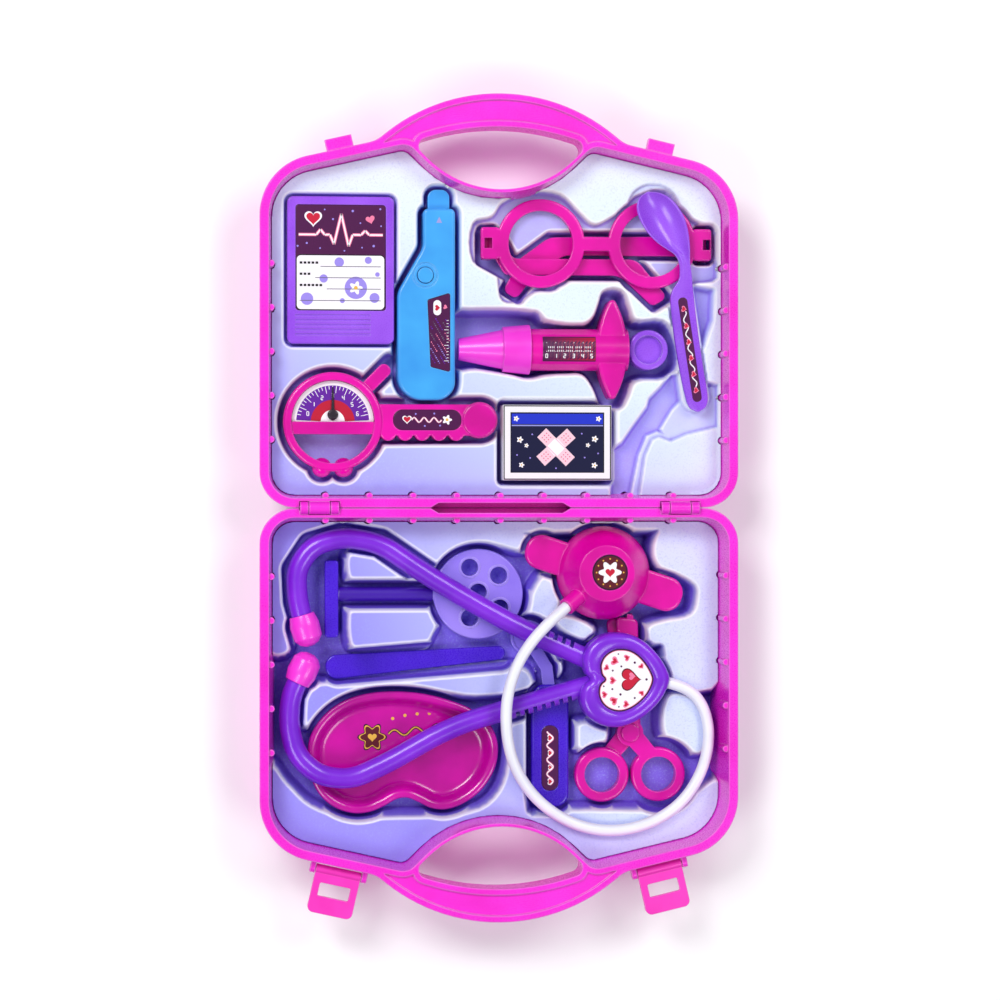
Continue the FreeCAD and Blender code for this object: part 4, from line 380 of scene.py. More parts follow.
@dataclass(frozen=True)
class DrawnSteel:
    """Bright drawn steel wire: metallic, with fine lines along X from the die."""

    name: str
    colour: str
    roughness: float = 0.28
    line_mm: tuple[float, float, float] = (20.0, 0.3, 0.3)

    def material(self) -> bpy.types.Material:
        """Make the material.

        Returns:
            The new material.
        """
        material, tree, place = begin(self.name)
        scale = tuple(per_metre(size) for size in self.line_mm)
        along = add(tree, "ShaderNodeMapping", {"Scale": scale}, {0: place})
        lines = add(tree, "ShaderNodeTexNoise", {"Scale": 1.0, "Detail": 2.0}, {"Vector": along.outputs[0]})
        shine = spread(tree, lines.outputs["Fac"], low=self.roughness - 0.08, high=self.roughness + 0.14)
        feed(tree, Base_Color=linear(self.colour), Roughness=shine, Metallic=1.0)
        return material


def dress(obj: bpy.types.Object, finish: "Finish") -> None:
    """Give a piece its finish, made once for all the pieces that share it.

    Args:
        obj: Piece to cover.
        finish: Entry of the finish list.
    """
    material = bpy.data.materials.get(finish.value.name) or finish.value.material()
    obj.data.materials.clear()
    obj.data.materials.append(material)


def soften(obj: bpy.types.Object, width_mm: float = 0.35, angle: float = 40.0) -> None:
    """Round the sharp edges of a piece from the CAD model as a mould's small radii do.

    Args:
        obj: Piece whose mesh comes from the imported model.
        width_mm: Width of the rounding.
        angle: Least turn between two faces, in degrees, that counts as an edge.
    """
    weld = obj.modifiers.new("weld", "WELD")
    weld.merge_threshold = 1e-5
    flatten = obj.modifiers.new("flatten", "DECIMATE")
    flatten.decimate_type = "DISSOLVE"
    flatten.angle_limit = math.radians(0.5)
    bevel = obj.modifiers.new("rounding", "BEVEL")
    bevel.width = width_mm * MM
    bevel.segments = 2
    bevel.limit_method = "ANGLE"
    bevel.angle_limit = math.radians(angle)
    bevel.use_clamp_overlap = True
    bevel.harden_normals = False
    obj.data.polygons.foreach_set("use_smooth", np.ones(len(obj.data.polygons), dtype=bool))
    normals = obj.modifiers.new("normals", "WEIGHTED_NORMAL")
    normals.keep_sharp = False


def make(name: str, points: Array, faces: list[list[int]], smooth: bool = True, merge: bool = True) -> bpy.types.Object:
    """Make a closed mesh with its faces turned outwards.

    Args:
        name: Name of the new piece.
        points: Corners in millimetres, one row each.
        faces: Corner numbers of each face.
        smooth: Whether the faces are shaded as one curved surface.
        merge: Whether corners at one place become one.

    Returns:
        The new piece, linked to the scene.
    """
    mesh = bpy.data.meshes.new(name)
    mesh.from_pydata((points * MM).tolist(), [], faces)
    shape = bmesh.new()
    shape.from_mesh(mesh)
    if merge:
        bmesh.ops.remove_doubles(shape, verts=shape.verts, dist=1e-7)
    bmesh.ops.recalc_face_normals(shape, faces=shape.faces)
    shape.to_mesh(mesh)
    shape.free()
    mesh.polygons.foreach_set("use_smooth", np.full(len(mesh.polygons), smooth))
    obj = bpy.data.objects.new(name, mesh)
    bpy.context.scene.collection.objects.link(obj)
    return obj


def weave(rows: int, columns: int, ring: bool = True, loop: bool = False) -> Array:
    """Number the four-sided faces of a grid of points.

    Args:
        rows: Number of rows.
        columns: Number of points in a row.
        ring: Whether each row closes on itself.
        loop: Whether the last row joins the first.

    Returns:
        One row of four corner numbers for each face.
    """
    down, across = (rows if loop else rows - 1), (columns if ring else columns - 1)
    r, c = np.meshgrid(np.arange(down), np.arange(across), indexing="ij")
    below, beside = (r + 1) % rows, (c + 1) % columns
    corners = np.stack([r * columns + c, r * columns + beside, below * columns + beside, below * columns + c], axis=-1)
    return corners.reshape(-1, 4)


def skin(name: str, rings: Array, loop: bool = False) -> bpy.types.Object:
    """Cover a stack of closed outlines with one surface, capped at both ends unless it closes on itself.

    Args:
        name: Name of the new piece.
        rings: Points in millimetres, as outlines x points x 3.
        loop: Whether the last outline joins the first.

    Returns:
        The new piece.
    """
    rows, columns = rings.shape[:2]
    faces = weave(rows, columns, True, loop).tolist()
    if not loop:
        faces += [list(range(columns)), list(range((rows - 1) * columns, rows * columns))]
    return make(name, rings.reshape(-1, 3), faces)


def rounded(plan: Plan, grow: float = 0.0, steps: int = 8) -> Array:
    """Outline with rounded corners: each side is moved out by grow and each corner becomes an arc.

    Args:
        plan: Corners as x, y and corner radius, counter-clockwise.
        grow: Distance by which the outline grows; radii of convex corners grow with it.
        steps: Parts of each arc.

    Returns:
        Points of the closed outline, one row each.
    """
    corner = np.array(plan)
    to = corner[:, :2] - np.roll(corner[:, :2], 1, axis=0)
    to /= np.linalg.norm(to, axis=1, keepdims=True)
    on = np.roll(to, -1, axis=0)
    turn = np.arctan2(to[:, 0] * on[:, 1] - to[:, 1] * on[:, 0], (to * on).sum(axis=1))
    bend = np.tan(turn / 2.0)
    away = np.stack([to[:, 1], -to[:, 0]], axis=1)
    tip = corner[:, :2] + grow * (away + to * bend[:, None])
    radius = np.maximum(corner[:, 2] + grow * np.sign(turn), 0.01)
    start = tip - to * (radius * np.abs(bend))[:, None]
    centre = start - away * (radius * np.sign(turn))[:, None]
    first = np.arctan2(start[:, 1] - centre[:, 1], start[:, 0] - centre[:, 0])
    angle = first[:, None] + turn[:, None] * np.linspace(0.0, 1.0, steps + 1)
    arc = centre[:, None] + radius[:, None, None] * np.stack([np.cos(angle), np.sin(angle)], axis=-1)
    return arc.reshape(-1, 2)


def even(outline: Array, count: int, closed: bool = True) -> Array:
    """Spread points evenly along a line by its length.

    Args:
        outline: Points of the line, one row each.
        count: Number of points wanted.
        closed: Whether the last point joins the first.

    Returns:
        The new points.
    """
    line = np.vstack([outline, outline[:1]]) if closed else np.asarray(outline, dtype=float)
    run = np.concatenate([[0.0], np.cumsum(np.linalg.norm(np.diff(line, axis=0), axis=1))])
    at = np.linspace(0.0, run[-1], count, endpoint=not closed)
    return np.stack([np.interp(at, run, line[:, i]) for i in range(line.shape[1])], axis=1)


def spline(knots: Array, count: int, closed: bool = True) -> Array:
    """Smooth line through knots: each span is a cubic that starts and ends along its neighbours' direction.

    Args:
        knots: Points on the line, one row each, with any number of columns.
        count: Number of points wanted, spread evenly along the knots' numbers.
        closed: Whether the line runs on from the last knot to the first.

    Returns:
        Points of the line.
    """
    knots = np.asarray(knots, dtype=float)
    spans = len(knots) if closed else len(knots) - 1
    at = np.linspace(0.0, spans, count, endpoint=not closed)
    first = np.minimum(at.astype(int), spans - 1)
    t = (at - first)[:, None]
    take = [first + i for i in (-1, 0, 1, 2)]
    a, b, c, d = (knots[i % len(knots) if closed else np.clip(i, 0, len(knots) - 1)] for i in take)
    size = np.linalg.norm(c - b, axis=1, keepdims=True)
    leave = (c - a) / np.linalg.norm(c - a, axis=1, keepdims=True) * size
    meet = (d - b) / np.linalg.norm(d - b, axis=1, keepdims=True) * size
    return b + t * leave + t ** 2 * (3 * (c - b) - 2 * leave - meet) + t ** 3 * (2 * (b - c) + leave + meet)


def inward(outline: Array, by: float) -> Array:
    """Move a smooth counter-clockwise outline inwards, each point along the normal of its neighbours' line.

    Args:
        outline: Points of the outline, one row each.
        by: Distance.

    Returns:
        The moved points.
    """
    along = np.roll(outline, -1, axis=0) - np.roll(outline, 1, axis=0)
    along /= np.linalg.norm(along, axis=1, keepdims=True)
    return outline + by * np.column_stack([-along[:, 1], along[:, 0]])


def dished(name: str, outline: Array, profile: Points) -> bpy.types.Object:
    """Carry a profile round an outline: each of its points is an inset and a height, and the ends are closed.

    Args:
        name: Name of the new piece.
        outline: Points of a smooth counter-clockwise outline.
        profile: Inset from the outline and height of each row, from underneath round to the top.

    Returns:
        The new piece.
    """
    rows = [np.column_stack([inward(outline, inset), np.full(len(outline), height)]) for inset, height in profile]
    return skin(name, np.stack(rows))


def stand_in(obj: bpy.types.Object, finish: "Finish", body: str, slot: str, *nodes: str) -> bpy.types.Object:
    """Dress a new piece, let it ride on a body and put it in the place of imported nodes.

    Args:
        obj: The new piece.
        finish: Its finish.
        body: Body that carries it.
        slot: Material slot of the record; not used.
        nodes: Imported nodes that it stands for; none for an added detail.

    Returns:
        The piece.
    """
    dress(obj, finish)
    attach(obj, body)
    if nodes:
        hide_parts(*nodes)
    return obj


def distance(x: Array, y: Array, outline: Array, closed: bool = True) -> Array:
    """Distance of points from a line: the least over all its sides, negative inside a closed outline.

    Args:
        x: Positions along X.
        y: Positions along Y.
        outline: Points of the line, one row each.
        closed: Whether the line is an outline with an inside.

    Returns:
        Signed distances in the shape of x.
    """
    ends = np.roll(outline, -1, axis=0) if closed else outline[1:]
    nearest = np.full(x.shape, 1e9)
    inside = np.zeros(x.shape, dtype=bool)
    for (ax, ay), (bx, by) in zip(outline, ends):
        length = (bx - ax) ** 2 + (by - ay) ** 2 + 1e-12
        t = np.clip(((x - ax) * (bx - ax) + (y - ay) * (by - ay)) / length, 0.0, 1.0)
        nearest = np.minimum(nearest, np.hypot(x - ax - t * (bx - ax), y - ay - t * (by - ay)))
        crosses = ((ay > y) != (by > y)) & (x < (bx - ax) * (y - ay) / (by - ay + 1e-12) + ax)
        inside ^= crosses
    return np.where(inside, -nearest, nearest) if closed else nearest


class Finish(Enum):
    """Finishes of the set, each named for the real material, except the dish's, a darker copy of the magenta as painted
    shade.
    """

    CASE = MouldedPlastic("pink_polypropylene", "#F52BDC", "#EC1CC8", "#FFB4F8", 0.26, rounding_mm=1.3)
    LATCH = MouldedPlastic("latch_polypropylene", "#F93CC8", "#EE28B6", "#FFA6EC", 0.3)
    MAGENTA = MouldedPlastic("magenta_polystyrene", "#E800AA", "#C80090", "#FF5AD6", 0.22, rounding_mm=1.1, gloss=0.4)
    # painted shade: a darker copy of the magenta for the dish, whose floor lies in shade
    DISH = MouldedPlastic("shade_darkened_magenta_polystyrene", "#CC00A0", "#A80086", "#FF66DC", 0.2, rounding_mm=0.5, gloss=0.5)
    PINK = MouldedPlastic("light_pink_polyethylene", "#F440DC", "#EA2CCC", "#FFB0F6", 0.32)
    VIOLET = MouldedPlastic("violet_polyethylene", "#842AE0", "#6E1ACA", "#BC86FF", 0.28)
    INDIGO = MouldedPlastic("indigo_polystyrene", "#4714CE", "#360AAE", "#7A50F2", 0.26)
    LILAC = MouldedPlastic("lilac_polystyrene", "#9A56EA", "#8640D8", "#CBA6FF", 0.26)
    PERIWINKLE = MouldedPlastic("periwinkle_polystyrene", "#907AE6", "#7C64DC", "#D2C6FF", 0.28)
    HAMMER = MouldedPlastic("two_colour_polystyrene", "#9A82EA", "#846CE0", "#DACEFF", 0.28,
                            spot=(-8.6, -42.0, 22.2), outside="#3C0E9E")
    BLUE = MouldedPlastic("sky_blue_polystyrene", "#3DA8EE", "#2F92E4", "#98DCFF", 0.32)
    BLACK = MouldedPlastic("black_polystyrene", "#140A18", "#1E1024", "#40304A", 0.35)
    RUBBER = MouldedPlastic("dark_rubber", "#2A1838", "#22122E", "#453055", 0.6)
    LID_SHEET = FormedSheet("lid_polystyrene_sheet", "#DCEBF9", "#B4C0F0", "#A091EE", "#7C4CDA", 23.0, 9.0,
                            "#A2A4F4", (-0.55, -0.83, 0.0), (-92.0, 18.0))
    BASE_SHEET = FormedSheet("base_polystyrene_sheet", "#D0DAFA", "#9CA4EE", "#765AE0", "#5222BE", 18.5, 8.0,
                             "#928CF0", (-0.95, -0.3, 0.0), (-24.0, 84.0))
    HOSE = SoftHose("white_soft_vinyl", "#F4F5FC", "#DDE0F2")
    STEEL = DrawnSteel("drawn_steel", "#C2BCCB")
    STICKER = PrintedFilm("plum_label_film", "#4E084A", "#360436")
    PAPER = PrintedFilm("white_label_film", "#F7F5FA", "#E9E4F2")
    CARTON = PrintedFilm("coated_carton", "#F2F2F5", "#E2E2EA", 0.4)
    INKS = PrintedFilm("printing_ink", "#FFFFFF", "#E6E2EC", 0.3, 0.5, "ink")


class Ink(Enum):
    """Colours printed on the stickers and on the carton."""

    WHITE = "#F8F6FB"
    PLUM = "#520A4C"
    NIGHT = "#2C0630"
    VIOLET = "#6A22B8"
    LILAC = "#9C8CE8"
    RED = "#C81238"
    ROSE = "#F27FA6"
    MAROON = "#5E0A22"
    NAVY = "#060838"
    BLUE = "#1B2FC8"
    BLACK = "#120A16"
    GREY = "#6A6478"
    GOLD = "#E9B64A"


def disc(x: float, y: float, radius: float, count: int = 28) -> Array:
    """Circle: the cosine and sine of one angle.

    Args:
        x: Middle along X.
        y: Middle along Y.
        radius: Radius of the circle.
        count: Number of points.

    Returns:
        Points of the outline.
    """
    turn = np.linspace(0.0, 2.0 * math.pi, count, endpoint=False)
    return np.column_stack([x + radius * np.cos(turn), y + radius * np.sin(turn)])


def bar(start: tuple[float, float] | Array, end: tuple[float, float] | Array, width: float) -> Array:
    """Straight stroke: half the width to either side of a line.

    Args:
        start: First end of the line.
        end: Second end of the line.
        width: Width of the stroke.

    Returns:
        Its four corners.
    """
    a, b = np.array(start), np.array(end)
    along = (b - a) / np.linalg.norm(b - a)
    side = np.array([-along[1], along[0]]) * width / 2.0
    return np.array([a - side, b - side, b + side, a + side])


def sector(x: float, y: float, inner: float, outer: float, first: float, last: float, count: int = 40) -> Array:
    """Part of a ring: an outer arc, and back along the inner arc.

    Args:
        x: Middle along X.
        y: Middle along Y.
        inner: Radius of the inner arc.
        outer: Radius of the outer arc.
        first: Start of the arcs in degrees.
        last: End of the arcs in degrees.
        count: Points on each arc.

    Returns:
        Points of the outline.
    """
    turn = np.radians(np.linspace(first, last, count))
    arc = np.column_stack([np.cos(turn), np.sin(turn)])
    return np.vstack([arc * outer, arc[::-1] * inner]) + np.array([x, y])


def petals(x: float, y: float, radius: float, count: int = 5, depth: float = 0.28) -> Array:
    """Flower: a circle whose radius swells and shrinks with a cosine.

    Args:
        x: Middle along X.
        y: Middle along Y.
        radius: Mean radius.
        count: Number of petals.
        depth: Share of the radius by which it swells and shrinks.

    Returns:
        Points of the outline.
    """
    angle = np.linspace(0.0, 2.0 * math.pi, 12 * count, endpoint=False)
    reach = radius * (1.0 + depth * np.cos(count * angle))
    return np.column_stack([x + reach * np.cos(angle), y + reach * np.sin(angle)])


def heart(x: float, y: float, size: float, turn: float = 0.0) -> Array:
    """Heart: the cube of a sine across, and a sum of cosines of the same angle along.

    Args:
        x: Middle along X.
        y: Middle along Y.
        size: Width.
        turn: Turn of its point from -Y in degrees.

    Returns:
        Points of the outline.
    """
    t = np.linspace(0.0, 2.0 * math.pi, 40, endpoint=False)
    across = np.sin(t) ** 3
    up = (13.0 * np.cos(t) - 5.0 * np.cos(2 * t) - 2.0 * np.cos(3 * t) - np.cos(4 * t)) / 16.0
    c, s = math.cos(math.radians(turn)), math.sin(math.radians(turn))
    return np.column_stack([x + size / 2 * (across * c - up * s), y + size / 2 * (across * s + up * c)])


@dataclass
class Print:
    """Motifs printed on a flat label, each a prism a few hundredths of a millimetre high.

    A later layer stands a little higher, so that it covers an earlier one.
    """

    name: str
    body: str
    level: float
    shapes: list[tuple[Array, Array, int]] = field(default_factory=list)
    ink_height: float = 0.035
    foot: float = 0.02              # depth of the motifs below the label's face

    def draw(self, outline: Array, ink: Ink, layer: int = 1, other: Ink | None = None, share: float = 0.0) -> None:
        """Add one motif.

        Args:
            outline: Closed outline in the plane of the label.
            ink: Colour of the motif.
            layer: Height of the motif in the stack of inks.
            other: Second colour that is mixed in.
            share: Share of the second colour.
        """
        colour = np.array(linear(ink.value)) * (1.0 - share) + np.array(linear((other or ink).value)) * share
        self.shapes.append((outline, colour, layer))

    def dots(self, spots: list[tuple[float, float, float]], ink: Ink, layer: int = 1, count: int = 28) -> None:
        """Add round dots.

        Args:
            spots: Middle and radius of each dot.
            ink: Colour of the dots.
            layer: Height of the dots in the stack of inks.
            count: Points round each dot.
        """
        for x, y, radius in spots:
            self.draw(disc(x, y, radius, count), ink, layer)

    def ribbon(self, line: Array | Points, bands: list[tuple[float, Ink]], lowest: int = 1) -> None:
        """Add a line of short strokes, with narrower bands on top of wider ones.

        Args:
            line: Points of the line, one row each.
            bands: Width and colour of each band, from the lowest up.
            lowest: Height of the lowest band in the stack of inks.
        """
        for start, end in zip(line[:-1], line[1:]):
            for layer, (width, ink) in enumerate(bands, lowest):
                self.draw(bar(start, end, width), ink, layer)

    def place(self, flat: Array, height: float) -> Array:
        """Put points of the flat artwork into space, height above the label's face."""
        return np.column_stack([flat, np.full(len(flat), self.level + height)])

    def build(self) -> bpy.types.Object:
        """Make all motifs one piece, with the ink of each corner in an attribute.

        Returns:
            The new piece, dressed and riding on its body.
        """
        points, faces, inks, start = [], [], [], 0
        for outline, colour, layer in self.shapes:
            count = len(outline)
            points += [self.place(outline, -self.foot), self.place(outline, self.ink_height * layer)]
            faces += (weave(2, count) + start).tolist()
            faces += [list(range(start, start + count)), list(range(start + count, start + 2 * count))]
            inks.append(np.tile(colour, (2 * count, 1)))
            start += 2 * count
        obj = make(self.name, np.vstack(points), faces, False, False)
        colours = obj.data.attributes.new("ink", "FLOAT_COLOR", "POINT")
        colours.data.foreach_set("color", np.vstack(inks).astype(np.float32).ravel())
        dress(obj, Finish.INKS)
        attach(obj, self.body)
        return obj


@dataclass
class BarrelPrint(Print):
    """Print on a label that wraps a barrel along X: artwork Y becomes the way round the barrel."""

    axis_y: float = 77.0
    axis_z: float = 16.5

    def place(self, flat: Array, height: float) -> Array:
        """Wrap flat points round the barrel: their distance from its top line, over the radius, is the angle.

        Args:
            flat: Points of the flat artwork.
            height: Height above the label.

        Returns:
            Points in space.
        """
        turn = (flat[:, 1] - self.axis_y) / self.level
        reach = self.level + height
        return np.column_stack([flat[:, 0], self.axis_y + reach * np.sin(turn), self.axis_z + reach * np.cos(turn)])


CASE_PLAN: Plan = [(115.5, 0.15, 17.0), (115.5, 162.72, 29.0), (43.35, 179.38, 12.0), (0.0, 137.34, 47.4),
                   (-43.35, 179.38, 12.0), (-115.5, 162.72, 29.0), (-115.5, 0.15, 17.0)]
BASE_PLAN: Plan = [(x, -y, r) for x, y, r in reversed(CASE_PLAN)]
CHART_PLAN: Plan = [(-102.0, 79.0, 3.0), (-50.5, 79.0, 3.0), (-50.5, 150.0, 3.0), (-102.0, 150.0, 3.0)]
THERMO_PLAN: Plan = [(-49.0, 52.0, 12.0), (-21.0, 52.0, 9.0), (-21.0, 144.6, 2.5), (-36.5, 144.6, 2.5),
                     (-36.5, 126.0, 10.0), (-49.0, 104.0, 12.0)]
BOX_PLAN: Plan = [(2.2, 13.4, 0.5), (55.2, 13.4, 0.5), (55.2, 49.9, 0.5), (2.2, 49.9, 0.5)]
HEART_OUTLINE: Points = [
    (44.9, -83.1), (42.2, -85.5), (40.2, -89.2), (40.3, -95.4), (43.9, -101.6), (50.4, -105.6), (58.0, -106.6),
    (65.5, -104.6), (72.2, -100.6), (78.5, -94.7), (82.3, -88.5), (83.8, -83.1), (82.3, -78.3), (78.5, -72.2),
    (72.6, -66.0), (65.9, -62.1), (59.1, -60.8), (51.8, -61.6), (45.0, -65.7), (41.5, -71.9), (41.7, -77.4),
    (43.0, -80.8)]
DISH_OUTLINE: Points = [
    (-91.8, -117.2), (-90.6, -129.0), (-86.4, -138.6), (-79.0, -145.3), (-69.9, -148.4), (-61.5, -147.9),
    (-54.1, -144.9), (-48.4, -141.8), (-43.4, -141.2), (-38.0, -143.3), (-31.8, -146.3), (-24.6, -147.1),
    (-15.8, -144.3), (-7.4, -138.2), (-1.7, -130.2), (1.0, -121.8), (0.6, -113.0), (-3.4, -105.0), (-10.8, -98.9),
    (-20.9, -94.4), (-34.3, -90.7), (-47.8, -89.3), (-61.2, -90.0), (-73.0, -93.2), (-82.2, -99.1), (-89.2, -108.0)]
UPPER_ARM: Points = [(-93.2, -57.5), (-96.8, -45.0), (-97.6, -30.0), (-90.0, -18.5), (-75.0, -14.0),
                     (-57.0, -17.0), (-36.0, -31.5), (-12.0, -46.0), (14.0, -60.0), (46.0, -74.5)]
LOWER_ARM: Points = [(-94.5, -79.0), (-100.2, -91.0), (-101.0, -105.0), (-97.5, -119.5), (-86.5, -129.5),
                     (-71.0, -131.5), (-53.0, -123.5), (-22.0, -106.0), (18.0, -94.5), (46.0, -86.5)]
BASE_FLOOR = 3.3


def blur(field_z: Array, cells: float) -> Array:
    """Smooth a height field: each value becomes a bell-weighted mean of its row, then of its column.

    Args:
        field_z: Heights on a grid.
        cells: Standard deviation of the bell in grid cells.

    Returns:
        Smoothed heights.
    """
    reach = int(math.ceil(3.0 * cells))
    weight = np.exp(-0.5 * (np.arange(-reach, reach + 1) / cells) ** 2)
    weight /= weight.sum()
    for axis in (0, 1):
        wide = np.pad(field_z, [(reach, reach) if a == axis else (0, 0) for a in (0, 1)], mode="edge")
        size = field_z.shape[axis]
        field_z = sum(w * np.take(wide, np.arange(i, i + size), axis=axis) for i, w in enumerate(weight))
    return field_z


class Form(Enum):
    """How the points of a pocket are read."""

    SIDES = "corners with straight sides between them"
    SMOOTH = "points on a smooth closed line"
    STROKE = "points on a line with room on both sides"
    CORNERS = "corners that each have a radius"
    ROUND = "the middle of a circle"


@dataclass(frozen=True)
class Pocket:
    """Hollow of a tray.

    Attributes:
        form: How its points are read.
        points: Points of its outline or line.
        room: Distance by which it reaches beyond them.
        floor: Height of its floor.
        steep: Slope of its wall.
    """

    form: Form
    points: Points | Plan
    room: float
    floor: float
    steep: float = 7.5

    def away(self, x: Array, y: Array) -> Array:
        """Distance from the pocket's edge, negative inside.

        Args:
            x: Positions along X.
            y: Positions along Y.

        Returns:
            Distances in the shape of x.
        """
        if self.form is Form.ROUND:
            middle_x, middle_y = self.points[0]
            return np.hypot(x - middle_x, y - middle_y) - self.room
        if self.form is Form.CORNERS:
            return distance(x, y, rounded(self.points, self.room))
        if self.form is Form.SMOOTH:
            return distance(x, y, spline(self.points, 4 * len(self.points))) - self.room
        return distance(x, y, np.array(self.points), self.form is Form.SIDES) - self.room


def sunk(z: Array, x: Array, y: Array, top: float, pockets: list[Pocket]) -> Array:
    """Sink pockets: each wall climbs evenly from the pocket's floor to the top, outwards from its edge.

    Args:
        z: Heights so far.
        x: Positions along X.
        y: Positions along Y.
        top: Height at which the walls end.
        pockets: The pockets.

    Returns:
        New heights.
    """
    for pocket in pockets:
        z = np.minimum(z, np.clip(pocket.floor + pocket.steep * pocket.away(x, y), pocket.floor, top))
    return z


def stood(z: Array, away: Array, low: float, high: float, steep: float) -> Array:
    """Stand a pad on the sheet: flat inside its outline, with a wall that falls evenly outside it.

    Args:
        z: Heights so far.
        away: Distance from the pad's outline, negative inside.
        low: Height at which the wall ends.
        high: Height of the pad.
        steep: Slope of the wall.

    Returns:
        New heights.
    """
    return np.maximum(z, np.clip(high - steep * away, low, high))


@dataclass
class FormedTray:
    """Insert tray: a sheet drawn over a mould with pockets, worked out as a height over a grid."""

    name: str
    node: str
    body: str
    finish: Finish
    plan: Plan
    top: float
    middle_y: float
    inset: float = 6.2
    draft: float = 2.1
    bottom: float = 2.35
    pitch: float = 0.68
    margin: float = 2.0             # grid beyond the tray's edge
    softness: float = 0.34          # draw radius of the sheet over the mould's edges
    crest: tuple[float, float] = (0.34, 0.95)   # a bend is the change from the first smoothing to the second
    lip: float = 0.0                # flat edge along the side walls
    lip_from: float = 95.0
    lip_slope: float = 6.0
    notch: float = 2.1              # room in the edge for the ribs of the case's walls
    rib_pitch: float = 21.0
    rib_stand: float = 5.61         # ribs from the outside of the case
    rib_first: float = 32.75        # first rib of a side wall from the hinge
    rib_last: float = 130.0
    case_half: float = 115.5
    hinge_gap: float = 0.15         # outside of the hinge wall from the hinge's middle

    def height(self, x: Array, y: Array) -> Array:
        """Height of the sheet before it is smoothed; a plain top of the shape of x and y."""
        return np.full(np.broadcast(x, y).shape, self.top)

    def beyond(self, x: Array, y: Array, edge: Array) -> Array:
        """Distance from the tray's edge, which steps back from each rib of the case's walls.

        Args:
            x: Positions along X.
            y: Positions along Y.
            edge: Outline of the tray.

        Returns:
            Distances in the shape of x, negative inside.
        """
        half = self.rib_pitch / 2.0
        hinge_wall = np.hypot((x + half) % self.rib_pitch - half, np.abs(y) - self.rib_stand - self.hinge_gap)
        side_wall = np.hypot(np.abs(x) - self.case_half + self.rib_stand,
                             (np.abs(y) - self.rib_first + half) % self.rib_pitch - half)
        ribs = np.minimum(hinge_wall, np.where(np.abs(y) < self.rib_last, side_wall, np.inf))
        return np.maximum(distance(x, y, edge), self.notch - ribs)

    def build(self) -> bpy.types.Object:
        """Make the tray.

        Grid points just outside the outline are drawn in along the distance's slope, a skirt falls from
        that edge to the floor, and a fan of triangles closes the underside.

        Returns:
            The new piece.
        """
        edge = rounded(self.plan, -self.inset, 10)
        low, high = edge.min(axis=0) - self.margin, edge.max(axis=0) + self.margin
        x, y = np.meshgrid(*(np.arange(low[i], high[i], self.pitch) for i in (0, 1)), indexing="ij")
        raw = self.height(x, y)
        if self.lip:
            strip = np.clip(self.top + self.lip_slope * (distance(x, y, edge) + self.lip), 0.0, self.top)
            raw = np.where(np.abs(x) > self.lip_from, np.maximum(raw, strip), raw)
        z = blur(raw, self.softness / self.pitch)
        bend = blur(raw, self.crest[0] / self.pitch) - blur(raw, self.crest[1] / self.pitch)
        away = self.beyond(x, y, edge)
        slope = np.stack(np.gradient(away, self.pitch), axis=-1)
        slope /= np.maximum(np.linalg.norm(slope, axis=-1, keepdims=True), 1e-6)
        drawn = np.stack([x, y], axis=-1) - np.maximum(away, 0.0)[..., None] * slope
        points = np.concatenate([drawn, z[..., None]], axis=-1).reshape(-1, 3)
        quads = weave(*x.shape, ring=False)
        quads = quads[(away.ravel()[quads] < 0.0).any(axis=1)]
        pairs = np.stack([quads, np.roll(quads, -1, axis=1)], axis=-1).reshape(-1, 2)
        code = np.sort(pairs, axis=1) @ np.array([x.size, 1])
        _, first, times = np.unique(code, return_index=True, return_counts=True)
        rim = pairs[first[times == 1]]
        ends = np.unique(rim)
        foot = np.column_stack([points[ends, :2] - slope.reshape(-1, 2)[ends] * self.draft,
                                np.full(len(ends), self.bottom)])
        foot_of = np.zeros(x.size, dtype=int)
        foot_of[ends] = x.size + np.arange(len(ends))
        hub = np.array([[0.0, self.middle_y, self.bottom]])
        skirt = np.stack([rim[:, 1], rim[:, 0], foot_of[rim[:, 0]], foot_of[rim[:, 1]]], axis=1)
        fan = np.stack([foot_of[rim[:, 1]], foot_of[rim[:, 0]], np.full(len(rim), x.size + len(ends))], axis=1)
        every = np.vstack([points, foot, hub])
        faces = [quads, skirt, fan]
        used = np.unique(np.concatenate([part.ravel() for part in faces]))
        number = np.zeros(len(every), dtype=int)
        number[used] = np.arange(len(used))
        obj = make(self.name, every[used], [row for part in faces for row in number[part].tolist()], merge=False)
        # crest says where the sheet bends; the sheet's material paints shade in hollows and highlights on edges from it
        crest = np.concatenate([bend.ravel(), np.zeros(len(ends) + 1)])[used]
        obj.data.attributes.new("crest", "FLOAT", "POINT").data.foreach_set("value", crest.astype(np.float32))
        return stand_in(obj, self.finish, self.body, "tray_sheet", self.node)


